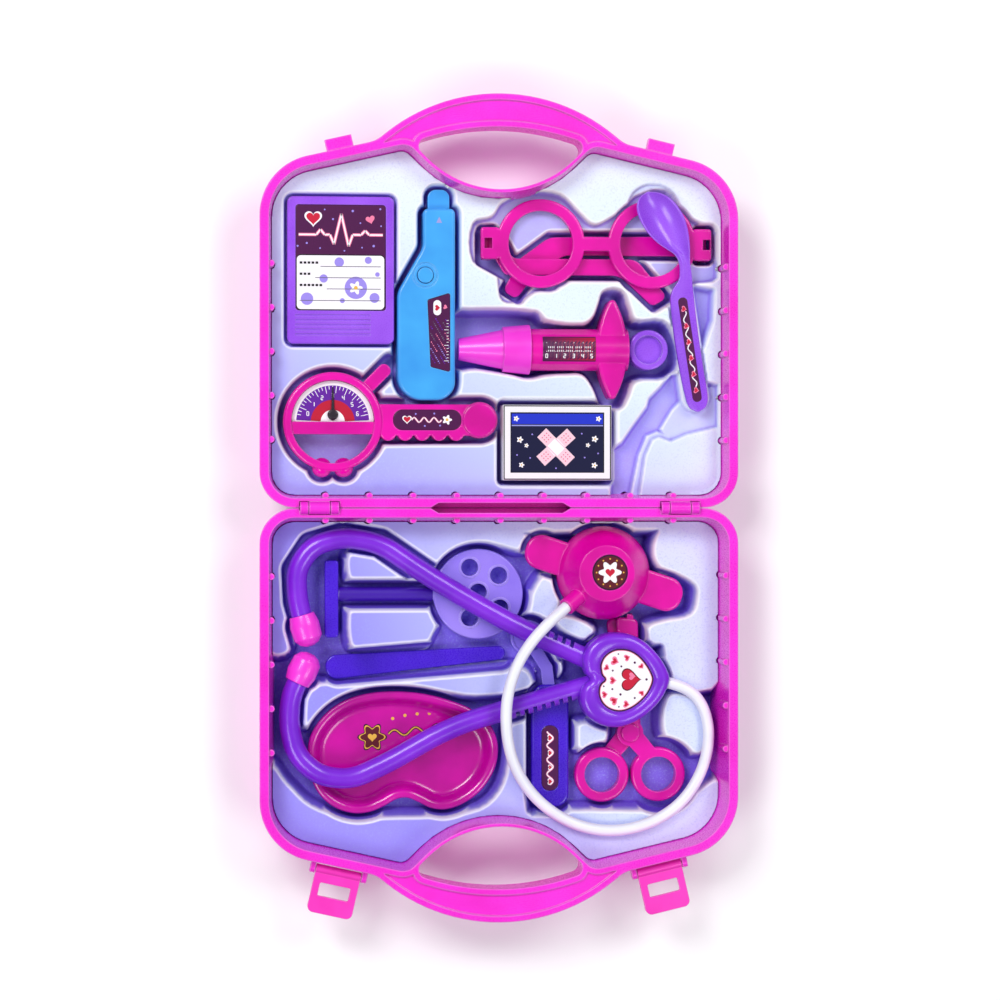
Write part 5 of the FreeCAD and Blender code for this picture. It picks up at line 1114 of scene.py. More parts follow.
@dataclass
class LidTray(FormedTray):
    """Tray of the lid, with deep pockets round each instrument and a lower terrace at one corner."""

    terrace: Pocket = Pocket(Form.SIDES, [
        (86.0, 64.5), (94.0, 62.0), (109.0, 58.0), (109.0, 6.0), (56.8, 6.0), (57.2, 28.0), (61.8, 30.6), (67.5, 39.0),
        (74.4, 48.5), (75.5, 52.5), (81.0, 58.0)], 0.0, 14.4, 4.0)
    steps: list[tuple[float, Points]] = field(default_factory=lambda: [
        (18.4, [(86.0, 47.5), (92.0, 54.0), (112.0, 62.0), (112.0, 24.0), (84.5, 33.5), (80.5, 38.5)]),
        (18.8, [(64.8, 2.0), (69.8, 25.7), (73.6, 34.8), (78.7, 36.9), (84.7, 35.0), (84.0, 30.0), (72.0, 2.0)]),
        (22.2, [(69.0, 2.0), (72.6, 25.5), (76.0, 33.0), (79.0, 34.2), (85.0, 32.0), (93.0, 35.5), (112.0, 40.0),
                (112.0, 2.0)])])
    step_slope: float = 3.5
    finger_room: Pocket = Pocket(Form.SIDES, [
        (95.4, 107.4), (104.8, 105.6), (104.2, 92.0), (99.6, 79.0), (95.0, 90.0)], 0.0, 15.2, 4.0)
    spoon_bowl: Pocket = Pocket(Form.STROKE, [(82.9, 130.2), (76.1, 144.8)], 13.0, 21.0)
    spoon_handle: Pocket = Pocket(Form.STROKE, [(86.9, 121.6), (97.2, 54.0)], 6.6, 21.0)
    seat_slope: float = 4.0
    chart: Pocket = Pocket(Form.CORNERS, CHART_PLAN, 1.0, 17.0)
    thermometer: list[Pocket] = field(default_factory=lambda: [
        Pocket(Form.CORNERS, THERMO_PLAN, 1.1, 8.8),
        Pocket(Form.CORNERS, [(-34.0, 138.0, 0.5), (-23.5, 138.0, 0.5), (-23.5, 154.1, 4.0), (-34.0, 154.1, 4.0)],
               1.2, 12.4)])
    glasses: list[Pocket] = field(default_factory=lambda: [
        Pocket(Form.SMOOTH, [
            (-12.0, 137.8), (-2.7, 141.2), (2.3, 147.9), (14.9, 153.0), (30.1, 152.2), (40.2, 142.9), (46.9, 137.8),
            (55.4, 141.2), (62.1, 146.3), (68.0, 152.2), (82.3, 154.7), (92.4, 142.9), (107.9, 132.8), (107.9, 112.6),
            (95.8, 109.2), (85.7, 102.0), (82.3, 98.0), (70.5, 102.2), (62.1, 107.5), (55.4, 116.0), (46.9, 117.6),
            (37.7, 116.0), (28.4, 105.9), (18.3, 104.9), (11.6, 100.5), (2.5, 100.5), (0.3, 109.2), (-0.5, 116.0),
            (-3.9, 119.0), (-12.0, 119.5)], -0.5, 16.2),
        Pocket(Form.ROUND, [(21.1, 128.5)], 22.5, 16.2),
        Pocket(Form.ROUND, [(75.8, 128.5)], 22.5, 16.2),
        Pocket(Form.CORNERS, [(-8.2, 120.7, 1.5), (-1.0, 120.7, 1.5), (-1.0, 136.3, 1.5), (-8.2, 136.3, 1.5)],
               0.9, 6.4, 9.0),
        Pocket(Form.CORNERS, [(98.0, 120.7, 1.5), (105.1, 120.7, 1.5), (105.1, 136.3, 1.5), (98.0, 136.3, 1.5)],
               0.9, 6.4, 9.0),
        Pocket(Form.SIDES, [
            (-8.0, 120.0), (4.1, 113.5), (60.8, 113.5), (76.8, 98.5), (84.3, 103.0), (68.8, 121.5), (8.1, 121.5),
            (1.0, 133.5), (-8.0, 133.5)], 1.6, 6.4, 9.0),
        Pocket(Form.SIDES, [
            (105.0, 123.5), (105.0, 133.5), (26.1, 132.3), (12.1, 122.0), (3.6, 106.0), (10.1, 102.0), (20.1, 115.0),
            (34.1, 123.5)], 1.6, 6.4, 9.0)])
    syringe: Pocket = Pocket(Form.SMOOTH, [
        (-21.5, 94.1), (-13.7, 95.8), (18.3, 94.9), (23.4, 90.5), (41.9, 89.0), (47.0, 92.4), (49.8, 99.1),
        (52.4, 105.2), (60.4, 105.2), (63.8, 97.8), (67.1, 91.0), (80.6, 90.7), (86.8, 82.3), (88.4, 70.1),
        (82.3, 63.8), (67.1, 62.1), (62.9, 53.7), (59.7, 48.9), (51.9, 48.9), (46.9, 58.7), (41.9, 65.0),
        (33.5, 65.5), (23.4, 64.8), (14.9, 63.2), (6.5, 65.0), (-10.3, 67.7), (-21.5, 68.5)], -1.9, 3.7, 6.5)
    gauge: list[Pocket] = field(default_factory=lambda: [
        Pocket(Form.ROUND, [(-80.0, 41.5)], 25.6, 10.6),
        Pocket(Form.ROUND, [(-85.2, 19.5)], 6.2, 10.6),
        Pocket(Form.ROUND, [(-74.8, 19.5)], 6.2, 10.6),
        Pocket(Form.STROKE, [(-65.0, 56.5), (-52.0, 69.5)], 4.4, 10.6),
        Pocket(Form.STROKE, [(-60.0, 42.0), (-9.0, 42.5)], 10.4, 10.6)])
    bandage_box: Pocket = Pocket(Form.CORNERS, BOX_PLAN, 1.1, 8.4)
    lip: float = 0.9

    def height(self, x: Array, y: Array) -> Array:
        """Height of the sheet: the top, lowered inside each instrument's pocket, with steps in the terrace.

        Args:
            x: Positions along X.
            y: Positions along Y.

        Returns:
            Heights in the shape of x, before they are smoothed.
        """
        z = sunk(super().height(x, y), x, y, self.top, [self.terrace])
        for level, outline in self.steps:
            z = stood(z, distance(x, y, np.array(outline)), 0.0, level, self.step_slope)
        z = sunk(z, x, y, self.top, [self.finger_room, self.spoon_bowl, self.spoon_handle])
        z = stood(z, self.spoon_handle.away(x, y), 0.0, self.spoon_handle.floor, self.seat_slope)
        return sunk(z, x, y, self.top, [self.chart, *self.thermometer, *self.glasses, self.syringe, *self.gauge,
                                        self.bandage_box])


@dataclass
class BaseTray(FormedTray):
    """Tray of the base: a low floor with raised pads between the instruments and channels for the tubes."""

    pads: list[Points] = field(default_factory=lambda: [
        [(-104.0, -4.0), (110.0, -4.0), (110.0, -9.0), (12.0, -11.8), (15.5, -14.5), (13.3, -20.2), (-0.2, -17.5),
         (-10.3, -16.9), (-27.1, -25.3), (-33.9, -30.3), (-47.3, -18.5), (-64.2, -11.8), (-77.7, -11.8),
         (-89.4, -16.9), (-97.9, -27.0), (-101.2, -42.1), (-102.0, -56.0), (-101.4, -69.0), (-110.0, -69.0),
         (-110.0, -4.0)],
        [(-71.8, -22.8), (-65.9, -20.2), (-55.8, -22.8), (-40.6, -30.7), (-36.4, -32.9), (-40.6, -35.7),
         (-69.2, -35.4), (-71.8, -32.9)],
        [(-70.1, -48.2), (-40.6, -48.0), (-33.9, -49.2), (-29.8, -55.6), (-31.5, -60.6), (-36.4, -67.1),
         (-66.7, -68.3), (-70.9, -65.7), (-71.8, -50.5)],
        [(-96.2, -92.6), (-92.0, -86.7), (-79.3, -84.9), (-33.9, -81.6), (-10.3, -79.2), (6.5, -77.8),
         (13.9, -79.3), (17.0, -84.2), (16.3, -87.6), (-10.3, -90.9), (-33.9, -87.6), (-54.1, -89.1),
         (-72.6, -94.0), (-87.8, -104.1), (-94.5, -104.3)],
        [(14.9, -48.9), (21.7, -34.5), (26.7, -33.7), (30.9, -42.1), (28.4, -50.5), (20.0, -55.3), (14.9, -53.6)],
        [(29.3, -56.4), (33.5, -53.1), (46.9, -59.0), (45.3, -63.2), (40.2, -63.2)],
        [(22.5, -70.7), (27.6, -69.1), (30.9, -75.8), (30.1, -80.7), (24.2, -80.7)],
        [(77.4, -18.5), (79.6, -11.5), (82.0, -4.0), (110.0, -4.0), (110.0, -84.2), (84.0, -85.9), (82.3, -67.4),
         (73.0, -65.7), (73.9, -59.0), (82.3, -55.6), (95.8, -52.2), (99.1, -42.1), (97.4, -37.1), (89.0, -32.0),
         (82.3, -30.3), (78.1, -25.3)],
        [(83.4, -94.3), (86.7, -91.1), (97.4, -94.3), (103.3, -104.4), (100.8, -119.2), (95.4, -119.2),
         (84.3, -113.2), (81.8, -104.4)],
        [(38.7, -106.9), (51.8, -106.3), (53.4, -112.5), (47.3, -117.6), (39.5, -116.2)],
        [(-110.0, -124.6), (-102.2, -133.0), (-90.4, -144.1), (-72.6, -150.0), (-47.3, -150.2), (-33.9, -150.0),
         (-8.3, -146.5), (3.2, -134.7), (6.8, -114.5), (7.5, -104.4), (14.9, -104.4), (14.3, -148.2),
         (30.0, -152.0), (30.0, -185.0), (-110.0, -185.0)],
        [(28.4, -150.2), (40.2, -148.1), (53.7, -148.2), (72.2, -148.5), (84.3, -147.1), (96.0, -141.0),
         (110.0, -134.7), (110.0, -185.0), (28.4, -185.0)]])
    pad_slope: float = 4.0
    tube_room: tuple[float, float] = (6.4, 11.0)        # beyond the middle of an ear tube, and floor
    tip_room: tuple[float, float] = (8.6, 8.6)          # the same for an ear tip
    tip_length: float = 9.5
    heart_hub: Pocket = Pocket(Form.SMOOTH, HEART_OUTLINE, 1.4, 11.0)
    chest_piece: list[Pocket] = field(default_factory=lambda: [
        Pocket(Form.ROUND, [(52.4, -31.8)], 24.4, 8.8),
        Pocket(Form.STROKE, [(52.4, -31.8), (22.5, -21.8)], 10.4, 11.2),
        Pocket(Form.STROKE, [(52.4, -31.8), (83.0, -42.0)], 10.4, 11.2)])
    hammer: list[Pocket] = field(default_factory=lambda: [
        Pocket(Form.CORNERS, [(-83.5, -63.0, 1.0), (-76.8, -63.0, 1.0), (-76.8, -25.5, 1.0), (-83.5, -25.5, 1.0)],
               1.6, BASE_FLOOR),
        Pocket(Form.STROKE, [(-78.0, -42.0), (-9.0, -42.0)], 5.6, BASE_FLOOR),
        Pocket(Form.ROUND, [(-8.6, -42.0)], 23.6, BASE_FLOOR)])
    depressor: Pocket = Pocket(Form.STROKE, [(-77.0, -77.2), (1.5, -71.0)], 7.4, 6.2)
    dish: Pocket = Pocket(Form.SMOOTH, DISH_OUTLINE, 1.5, BASE_FLOOR)
    throat_mirror: list[Pocket] = field(default_factory=lambda: [
        Pocket(Form.CORNERS, [(17.5, -146.5, 6.5), (36.0, -146.5, 6.5), (36.0, -86.5, 6.5), (17.5, -86.5, 6.5)],
               1.5, BASE_FLOOR),
        Pocket(Form.STROKE, [(26.7, -90.0), (25.2, -78.5), (16.0, -63.5)], 4.6, BASE_FLOOR),
        Pocket(Form.ROUND, [(16.0, -63.5)], 10.2, BASE_FLOOR)])
    scissors: list[Pocket] = field(default_factory=lambda: [
        Pocket(Form.SIDES, [(52.5, -53.0), (59.0, -110.5), (74.0, -110.5), (70.5, -53.0)], 1.2, BASE_FLOOR),
        Pocket(Form.ROUND, [(66.5, -110.5)], 8.4, BASE_FLOOR),
        Pocket(Form.ROUND, [(52.5, -131.0)], 15.0, BASE_FLOOR),
        Pocket(Form.ROUND, [(80.5, -131.0)], 17.4, BASE_FLOOR)])

    def ear_tube(self, arm: Points) -> list[Pocket]:
        """Channel of an ear tube and the pocket of its tip, which runs straight on from the tube's end.

        Args:
            arm: Middle line of the tube, from its tip.

        Returns:
            The two pockets.
        """
        first, second = np.array(arm[:2])
        tip = first + (first - second) / np.linalg.norm(first - second) * self.tip_length
        return [Pocket(Form.STROKE, arm, *self.tube_room), Pocket(Form.STROKE, [first, tip], *self.tip_room)]

    def height(self, x: Array, y: Array) -> Array:
        """Height of the sheet: the floor, raised over each pad, then lowered under each instrument.

        Args:
            x: Positions along X.
            y: Positions along Y.

        Returns:
            Heights in the shape of x, before they are smoothed.
        """
        z = np.full(x.shape, BASE_FLOOR)
        for pad in self.pads:
            z = stood(z, distance(x, y, spline(pad, 4 * len(pad))), BASE_FLOOR, self.top, self.pad_slope)
        return sunk(z, x, y, self.top, [
            *self.ear_tube(UPPER_ARM), *self.ear_tube(LOWER_ARM), self.heart_hub, *self.chest_piece, *self.hammer,
            self.depressor, self.dish, *self.throat_mirror, *self.scissors])


@dataclass
class Assembly:
    """Sub-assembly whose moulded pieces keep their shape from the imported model.

    Attributes:
        nodes: Finish of each piece by node name.
        rounding: Width of the rounding on the pieces' edges, 0 for none.
    """

    nodes: dict[str, Finish] = field(default_factory=dict)
    rounding: float = 0.3

    def dress_nodes(self) -> None:
        """Give each piece its finish and soft edges."""
        for node, finish in self.nodes.items():
            obj = bpy.data.objects[node]
            dress(obj, finish)
            if self.rounding:
                soften(obj, self.rounding)
            LOG.info("%s: %s", node, finish.value.name)

    def details(self) -> list[bpy.types.Object]:
        """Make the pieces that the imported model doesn't have; none here."""
        return []

    def build(self) -> None:
        """Dress the moulded pieces and add the details."""
        self.dress_nodes()
        for obj in self.details():
            LOG.info("%s: %d faces", obj.name, len(obj.data.polygons) if obj.type == "MESH" else 0)


@dataclass
class Case(Assembly):
    """Two shells with half a handle each, hinge pins and latches."""

    nodes: dict[str, Finish] = field(default_factory=lambda: {
        "base_shell": Finish.CASE, "lid_shell": Finish.CASE, "hinge_pins": Finish.STEEL,
        "latch_left": Finish.LATCH, "latch_right": Finish.LATCH, "latch_pins": Finish.STEEL})


@dataclass
class ChartBoard(Assembly):
    """Patient chart: a thin board with a label, a dark head and a ruled form."""

    nodes: dict[str, Finish] = field(default_factory=lambda: {
        "chart_board": Finish.LILAC, "chart_label": Finish.STICKER})
    left: float = -98.0
    right: float = -54.5
    near: float = 95.0
    form_far: float = 121.5
    face: float = 23.4

    def details(self) -> list[bpy.types.Object]:
        """Print the label: a pulse line with a heart on the head, then rules and dots on the form.

        Returns:
            The new pieces.
        """
        art = Print("chart_print", "chart", self.face)
        form: Plan = [(self.left + 0.6, self.near + 0.6, 2.0), (self.right - 0.8, self.near + 0.6, 2.0),
                      (self.right - 0.8, self.form_far, 2.0), (self.left + 0.6, self.form_far, 2.0)]
        art.draw(rounded(form, 0.5), Ink.BLACK, 1)
        art.draw(rounded(form), Ink.WHITE, 2)
        art.dots([(-77.0, 118.3, 2.3), (-63.0, 119.3, 1.7), (-84.5, 110.4, 2.0), (-69.0, 106.0, 5.4),
                  (-92.5, 100.6, 3.0), (-75.5, 99.8, 1.2), (-60.0, 101.2, 2.4), (-58.6, 112.5, 1.1)], Ink.LILAC, 3)
        for y, start in ((116.2, -86.0), (110.8, -88.5), (105.4, -83.0), (99.8, -96.0)):
            art.draw(bar((start, y), (-57.0, y), 0.35), Ink.GREY, 4)
        for y, end in ((118.0, -88.0), (112.6, -91.0), (107.2, -86.0)):
            for x in np.arange(-96.0, end, 1.9):
                art.draw(bar((x, y), (x + 1.3, y), 1.1), Ink.BLACK, 4)
        art.draw(petals(-69.0, 106.0, 2.6), Ink.WHITE, 4)
        art.draw(disc(-69.0, 106.0, 0.9), Ink.GOLD, 5)
        pulse = [(-96.5, 131.5), (-88.0, 131.5), (-86.0, 134.0), (-84.0, 131.5), (-81.5, 131.5), (-79.5, 127.0),
                 (-76.0, 141.5), (-72.5, 126.0), (-70.5, 131.5), (-66.5, 131.5), (-64.5, 133.5), (-62.5, 131.5),
                 (-56.0, 131.5)]
        art.ribbon(pulse, [(1.5, Ink.ROSE), (0.7, Ink.WHITE)], 2)
        art.draw(heart(-89.5, 139.5, 8.5), Ink.WHITE, 2)
        art.draw(heart(-89.5, 139.5, 6.6), Ink.RED, 3)
        art.draw(heart(-62.0, 139.0, 4.4, 15.0), Ink.ROSE, 3)
        art.dots([(-97.0, 126.0, 0.5), (-84.0, 143.6, 0.4), (-80.0, 139.0, 0.5), (-70.5, 143.0, 0.6),
                  (-66.8, 137.2, 0.4), (-57.2, 144.0, 0.5), (-56.8, 135.8, 0.4), (-92.6, 127.4, 0.5),
                  (-60.4, 126.2, 0.6), (-66.0, 125.4, 0.4), (-74.5, 123.8, 0.4), (-86.2, 125.0, 0.4)],
                 Ink.LILAC, 2, 12)
        return [art.build()]


@dataclass
class Thermometer(Assembly):
    """Thermometer of two shells, with a probe tip, a button and a dark window."""

    nodes: dict[str, Finish] = field(default_factory=lambda: {
        "thermometer_front_shell": Finish.BLUE, "thermometer_back_shell": Finish.BLUE,
        "thermometer_probe": Finish.BLUE, "thermometer_button": Finish.BLUE, "thermometer_label": Finish.STICKER})
    window_face: float = 24.3
    neck_face: float = 24.5
    speckles: int = 90

    def details(self) -> list[bpy.types.Object]:
        """Print the window with speckles, ticks and a small tag, and a mark on the neck.

        Returns:
            The new pieces.
        """
        art = Print("thermometer_print", "thermometer", self.window_face)
        number = np.arange(self.speckles)
        x = -33.0 + 9.2 * ((number * 0.618034) % 1.0)
        y = 69.5 + 22.0 * ((number * 0.754878) % 1.0)
        size = 0.16 + 0.2 * ((number * 0.569840) % 1.0)
        inks = (Ink.LILAC, Ink.VIOLET, Ink.GREY, Ink.ROSE)
        for i in number:
            art.draw(disc(x[i], y[i], size[i], 8), inks[i % len(inks)])
        for step, at in enumerate(np.arange(71.0, 92.0, 1.5)):
            art.draw(bar((-24.2, at), (-25.2 if step % 5 else -26.4, at), 0.25), Ink.WHITE, 2)
        tag: Plan = [(-31.6, 93.0, 1.9), (-27.8, 93.0, 1.9), (-27.8, 100.3, 1.9), (-31.6, 100.3, 1.9)]
        art.draw(rounded(tag), Ink.WHITE, 1)
        art.draw(heart(-29.7, 96.6, 2.8, 90.0), Ink.RED, 2)
        art.draw(heart(-25.8, 97.0, 2.2, 70.0), Ink.ROSE, 2)
        mark = Print("thermometer_mark", "thermometer", self.neck_face)
        mark.draw(np.array([(-30.2, 137.6), (-27.4, 137.6), (-28.8, 140.6)]), Ink.BLUE, 1, Ink.WHITE, 0.35)
        return [art.build(), mark.build()]


@dataclass
class Glasses(Assembly):
    """Round play glasses with two folding temples."""

    nodes: dict[str, Finish] = field(default_factory=lambda: {
        "glasses_front": Finish.MAGENTA, "glasses_temple_left": Finish.MAGENTA,
        "glasses_temple_right": Finish.MAGENTA, "glasses_hinge_pins": Finish.STEEL})


@dataclass
class Spoon(Assembly):
    """Medicine spoon with an egg-shaped bowl and a label on its handle.

    Attributes:
        sections: Left and right edge as x and y, height of the edges, depth of the hollow between them,
            thickness and height of the middle ridge, from the bowl's tip to the handle's end.
        start: Handle end of the print.
        end: Bowl end of the print.
        face: Height of the handle's label.
    """

    nodes: dict[str, Finish] = field(default_factory=lambda: {"spoon_label": Finish.STICKER})
    sections: list[tuple[float, ...]] = field(default_factory=lambda: [
        (72.0, 153.3, 73.0, 153.5, 27.6, 0.2, 1.0, 0.0), (68.6, 150.7, 78.2, 153.0, 28.0, 1.5, 1.3, 0.0),
        (67.1, 146.6, 83.4, 150.4, 28.2, 3.4, 1.4, 0.0), (67.6, 142.4, 87.3, 146.4, 28.3, 4.7, 1.4, 0.0),
        (69.6, 137.8, 90.4, 141.2, 28.3, 5.3, 1.4, 0.0), (72.8, 133.0, 92.2, 135.4, 28.1, 5.1, 1.4, 0.0),
        (77.2, 128.8, 93.1, 129.8, 27.7, 4.3, 1.4, 0.2), (82.0, 125.7, 93.5, 125.4, 27.0, 3.0, 1.8, 0.5),
        (86.0, 123.2, 93.6, 122.2, 26.3, 1.7, 2.4, 0.7), (88.2, 119.8, 93.8, 119.2, 25.7, 0.9, 2.8, 0.6),
        (88.8, 115.2, 94.4, 115.2, 25.4, 0.5, 3.1, 0.3), (88.2, 110.8, 94.8, 111.2, 25.3, 0.4, 3.3, 0.1),
        (85.3, 106.2, 95.1, 107.4, 25.3, 0.35, 3.3, 0.0), (84.2, 101.6, 95.6, 103.0, 25.3, 0.3, 3.3, 0.0),
        (85.6, 87.0, 97.3, 88.4, 25.3, 0.3, 3.3, 0.0), (88.9, 66.4, 100.4, 67.4, 25.3, 0.3, 3.3, 0.0),
        (91.7, 53.6, 102.5, 54.0, 25.3, 0.3, 3.3, 0.0),
        (93.6, 48.9, 101.5, 49.2, 25.3, 0.25, 3.3, 0.0), (97.0, 46.8, 98.4, 46.9, 25.2, 0.05, 3.0, 0.0)])
    start: tuple[float, float] = (97.0, 55.5)
    end: tuple[float, float] = (90.3, 99.0)
    face: float = 25.1

    def spoon(self) -> bpy.types.Object:
        """Spoon as a stack of cross-sections.

        Across each section the top falls from the edge by the depth times 1 - u squared, u being -1 and
        1 at the lips, plus a bell-shaped ridge; the underside lies below it by the thickness.

        Returns:
            The new piece.
        """
        left_x, left_y, right_x, right_y, edge, depth, thick, ridge = spline(self.sections, 130, False).T[:, :, None]
        u = np.linspace(-1.0, 1.0, 31)
        hollow = edge - depth * np.clip(1.0 - (u / 0.92) ** 2, 0.0, None)
        top = hollow + ridge * np.exp(-(u / 0.16) ** 2) - 0.3 * np.abs(u) ** 40
        below = hollow - thick + 0.6 * np.abs(u) ** 12
        x, y = (a + (b - a) * (u + 1.0) / 2.0 for a, b in ((left_x, right_x), (left_y, right_y)))
        face, back = np.stack([x, y, top], axis=-1), np.stack([x, y, below], axis=-1)
        obj = skin("spoon_bowl_and_handle", np.concatenate([face, back[:, ::-1]], axis=1))
        return stand_in(obj, Finish.LILAC, "spoon", "lilac_plastic", "spoon")

    def details(self) -> list[bpy.types.Object]:
        """Make the spoon, and print a wavy ribbon with hearts along its handle.

        Returns:
            The new pieces.
        """
        art = Print("spoon_print", "spoon", self.face)
        a, b = np.array(self.start), np.array(self.end)
        along = (b - a) / np.linalg.norm(b - a)
        side = np.array([-along[1], along[0]])
        t = np.linspace(0.08, 0.92, 60)
        line = a + (b - a) * t[:, None] + side * (0.9 * np.sin(t * 40.0))[:, None]
        art.ribbon(line, [(0.55, Ink.WHITE)])
        for share in (0.04, 0.22, 0.4, 0.58, 0.76, 0.95):
            spot = a + (b - a) * share
            art.draw(heart(spot[0], spot[1], 3.0, 80.0), Ink.ROSE, 2)
            art.draw(heart(spot[0], spot[1], 2.0, 80.0), Ink.RED, 3)
        return [self.spoon(), art.build()]


def digit(number: int, x: float, y: float, size: float) -> list[Array]:
    """Plain figure made of up to seven strokes, as on a counter.

    Args:
        number: Figure from 0 to 9.
        x: Left side.
        y: Lower side.
        size: Height; the figure is half as wide.

    Returns:
        One outline for each stroke.
    """
    half = size / 2.0
    strokes = {"a": ((0, size), (half, size)), "b": ((half, half), (half, size)), "c": ((half, 0), (half, half)),
               "d": ((0, 0), (half, 0)), "e": ((0, 0), (0, half)), "f": ((0, half), (0, size)),
               "g": ((0, half), (half, half))}
    parts = ("abcdef", "bc", "abged", "abgcd", "fgbc", "afgcd", "afgedc", "abc", "abcdefg", "abcdfg")[number]
    place = np.array([x, y])
    return [bar(tuple(place + strokes[p][0]), tuple(place + strokes[p][1]), size * 0.2) for p in parts]


@dataclass
class Syringe(Assembly):
    """Play syringe: nozzle cone, barrel with a finger flange, plunger with a thumb disc."""

    nodes: dict[str, Finish] = field(default_factory=lambda: {
        "syringe_nozzle": Finish.PINK, "syringe_barrel": Finish.MAGENTA, "syringe_plunger": Finish.LILAC,
        "syringe_plunger_seal": Finish.RUBBER, "syringe_scale_label": Finish.STICKER})
    start: float = 21.6
    end: float = 47.1
    half: float = 5.8
    bands: int = 14
    radius: float = 10.42

    def details(self) -> list[bpy.types.Object]:
        """Print the scale: bands from plum to red, white ticks and plain figures.

        Returns:
            The new pieces.
        """
        art = BarrelPrint("syringe_print", "syringe", self.radius)
        edges = np.linspace(self.start, self.end, self.bands + 1)
        rows = np.linspace(art.axis_y - self.half, art.axis_y + self.half, 9)
        for i in range(self.bands):
            outline = np.vstack([np.column_stack([np.full(len(rows), edges[i + 1]), rows]),
                                 np.column_stack([np.full(len(rows), edges[i]), rows[::-1]])])
            art.draw(outline, Ink.PLUM, 1, Ink.RED, 0.75 * i / self.bands)
        for step, x in enumerate(np.linspace(self.start + 1.6, self.end - 1.6, 26)):
            reach = 4.6 if step % 5 == 0 else 2.6
            art.draw(bar((x, 75.6), (x, 75.6 + reach), 0.34), Ink.WHITE, 2)
        for n, x in enumerate(np.linspace(self.start + 1.2, self.end - 2.4, 6)):
            for stroke in digit(n, x, 72.6, 1.9):
                art.draw(stroke, Ink.WHITE, 2)
        return [art.build()]


@dataclass
class DialGauge(Assembly):
    """Play pressure gauge: a ring with a half dial and a needle, on a scalloped grip with a knob."""

    nodes: dict[str, Finish] = field(default_factory=lambda: {
        "gauge_body": Finish.MAGENTA, "gauge_back_cover": Finish.MAGENTA, "gauge_dial": Finish.PAPER,
        "gauge_needle": Finish.BLACK, "gauge_needle_pivot": Finish.BLACK, "gauge_handle_label": Finish.STICKER})
    x: float = -80.0
    y: float = 41.5
    dial_face: float = 20.6
    grip_face: float = 22.4

    def dial(self) -> bpy.types.Object:
        """Print the dial: a violet scale with ticks and figures, a red band and a white middle.

        Returns:
            The new piece.
        """
        art = Print("gauge_dial_print", "gauge", self.dial_face)
        art.draw(sector(self.x, self.y, 17.6, 19.75, 1.0, 179.0), Ink.WHITE, 2)
        art.draw(sector(self.x, self.y, 0.0, 18.2, 2.5, 177.5), Ink.VIOLET, 1, Ink.PLUM, 0.35)
        art.draw(sector(self.x, self.y, 0.0, 10.6, 2.5, 177.5), Ink.RED, 2, Ink.MAROON, 0.15)
        art.draw(sector(self.x, self.y, 0.0, 5.8, 2.5, 177.5), Ink.WHITE, 3)
        for step, angle in enumerate(np.linspace(12.0, 168.0, 27)):
            inner = 14.4 if step % 3 == 0 else 16.2
            art.draw(sector(self.x, self.y, inner - 0.5, 17.4, angle - 0.55, angle + 0.55, 3), Ink.WHITE, 2)
        for n, angle in enumerate(np.linspace(162.0, 18.0, 7)):
            turn = math.radians(angle)
            for stroke in digit(n, self.x + 12.6 * math.cos(turn) - 0.5, self.y + 12.6 * math.sin(turn) - 0.9, 1.9):
                art.draw(stroke, Ink.WHITE, 2)
        return art.build()

    def grip(self) -> bpy.types.Object:
        """Print hearts, dots and a short wave on the grip's label.

        Returns:
            The new piece.
        """
        art = Print("gauge_grip_print", "gauge", self.grip_face)
        t = np.linspace(-42.0, -27.5, 40)
        wave = np.column_stack([t, 42.5 + 1.1 * np.sin((t + 42.0) * 1.3)])
        art.ribbon(wave, [(0.9, Ink.ROSE), (0.45, Ink.WHITE)])
        art.draw(heart(-44.2, 42.8, 4.6), Ink.WHITE, 1)
        art.draw(heart(-44.2, 42.8, 3.4), Ink.RED, 2)
        art.draw(petals(-24.8, 42.6, 1.9), Ink.WHITE, 1)
        art.draw(disc(-24.8, 42.6, 0.7, 12), Ink.GOLD, 2)
        spots = ((-40.0, 45.4), (-35.6, 39.6), (-31.0, 45.6), (-28.2, 39.8))
        art.dots([(x, y, 0.45) for x, y in spots], Ink.LILAC, 1, 10)
        return art.build()

    def details(self) -> list[bpy.types.Object]:
        """Print the dial and the grip's label."""
        return [self.dial(), self.grip()]


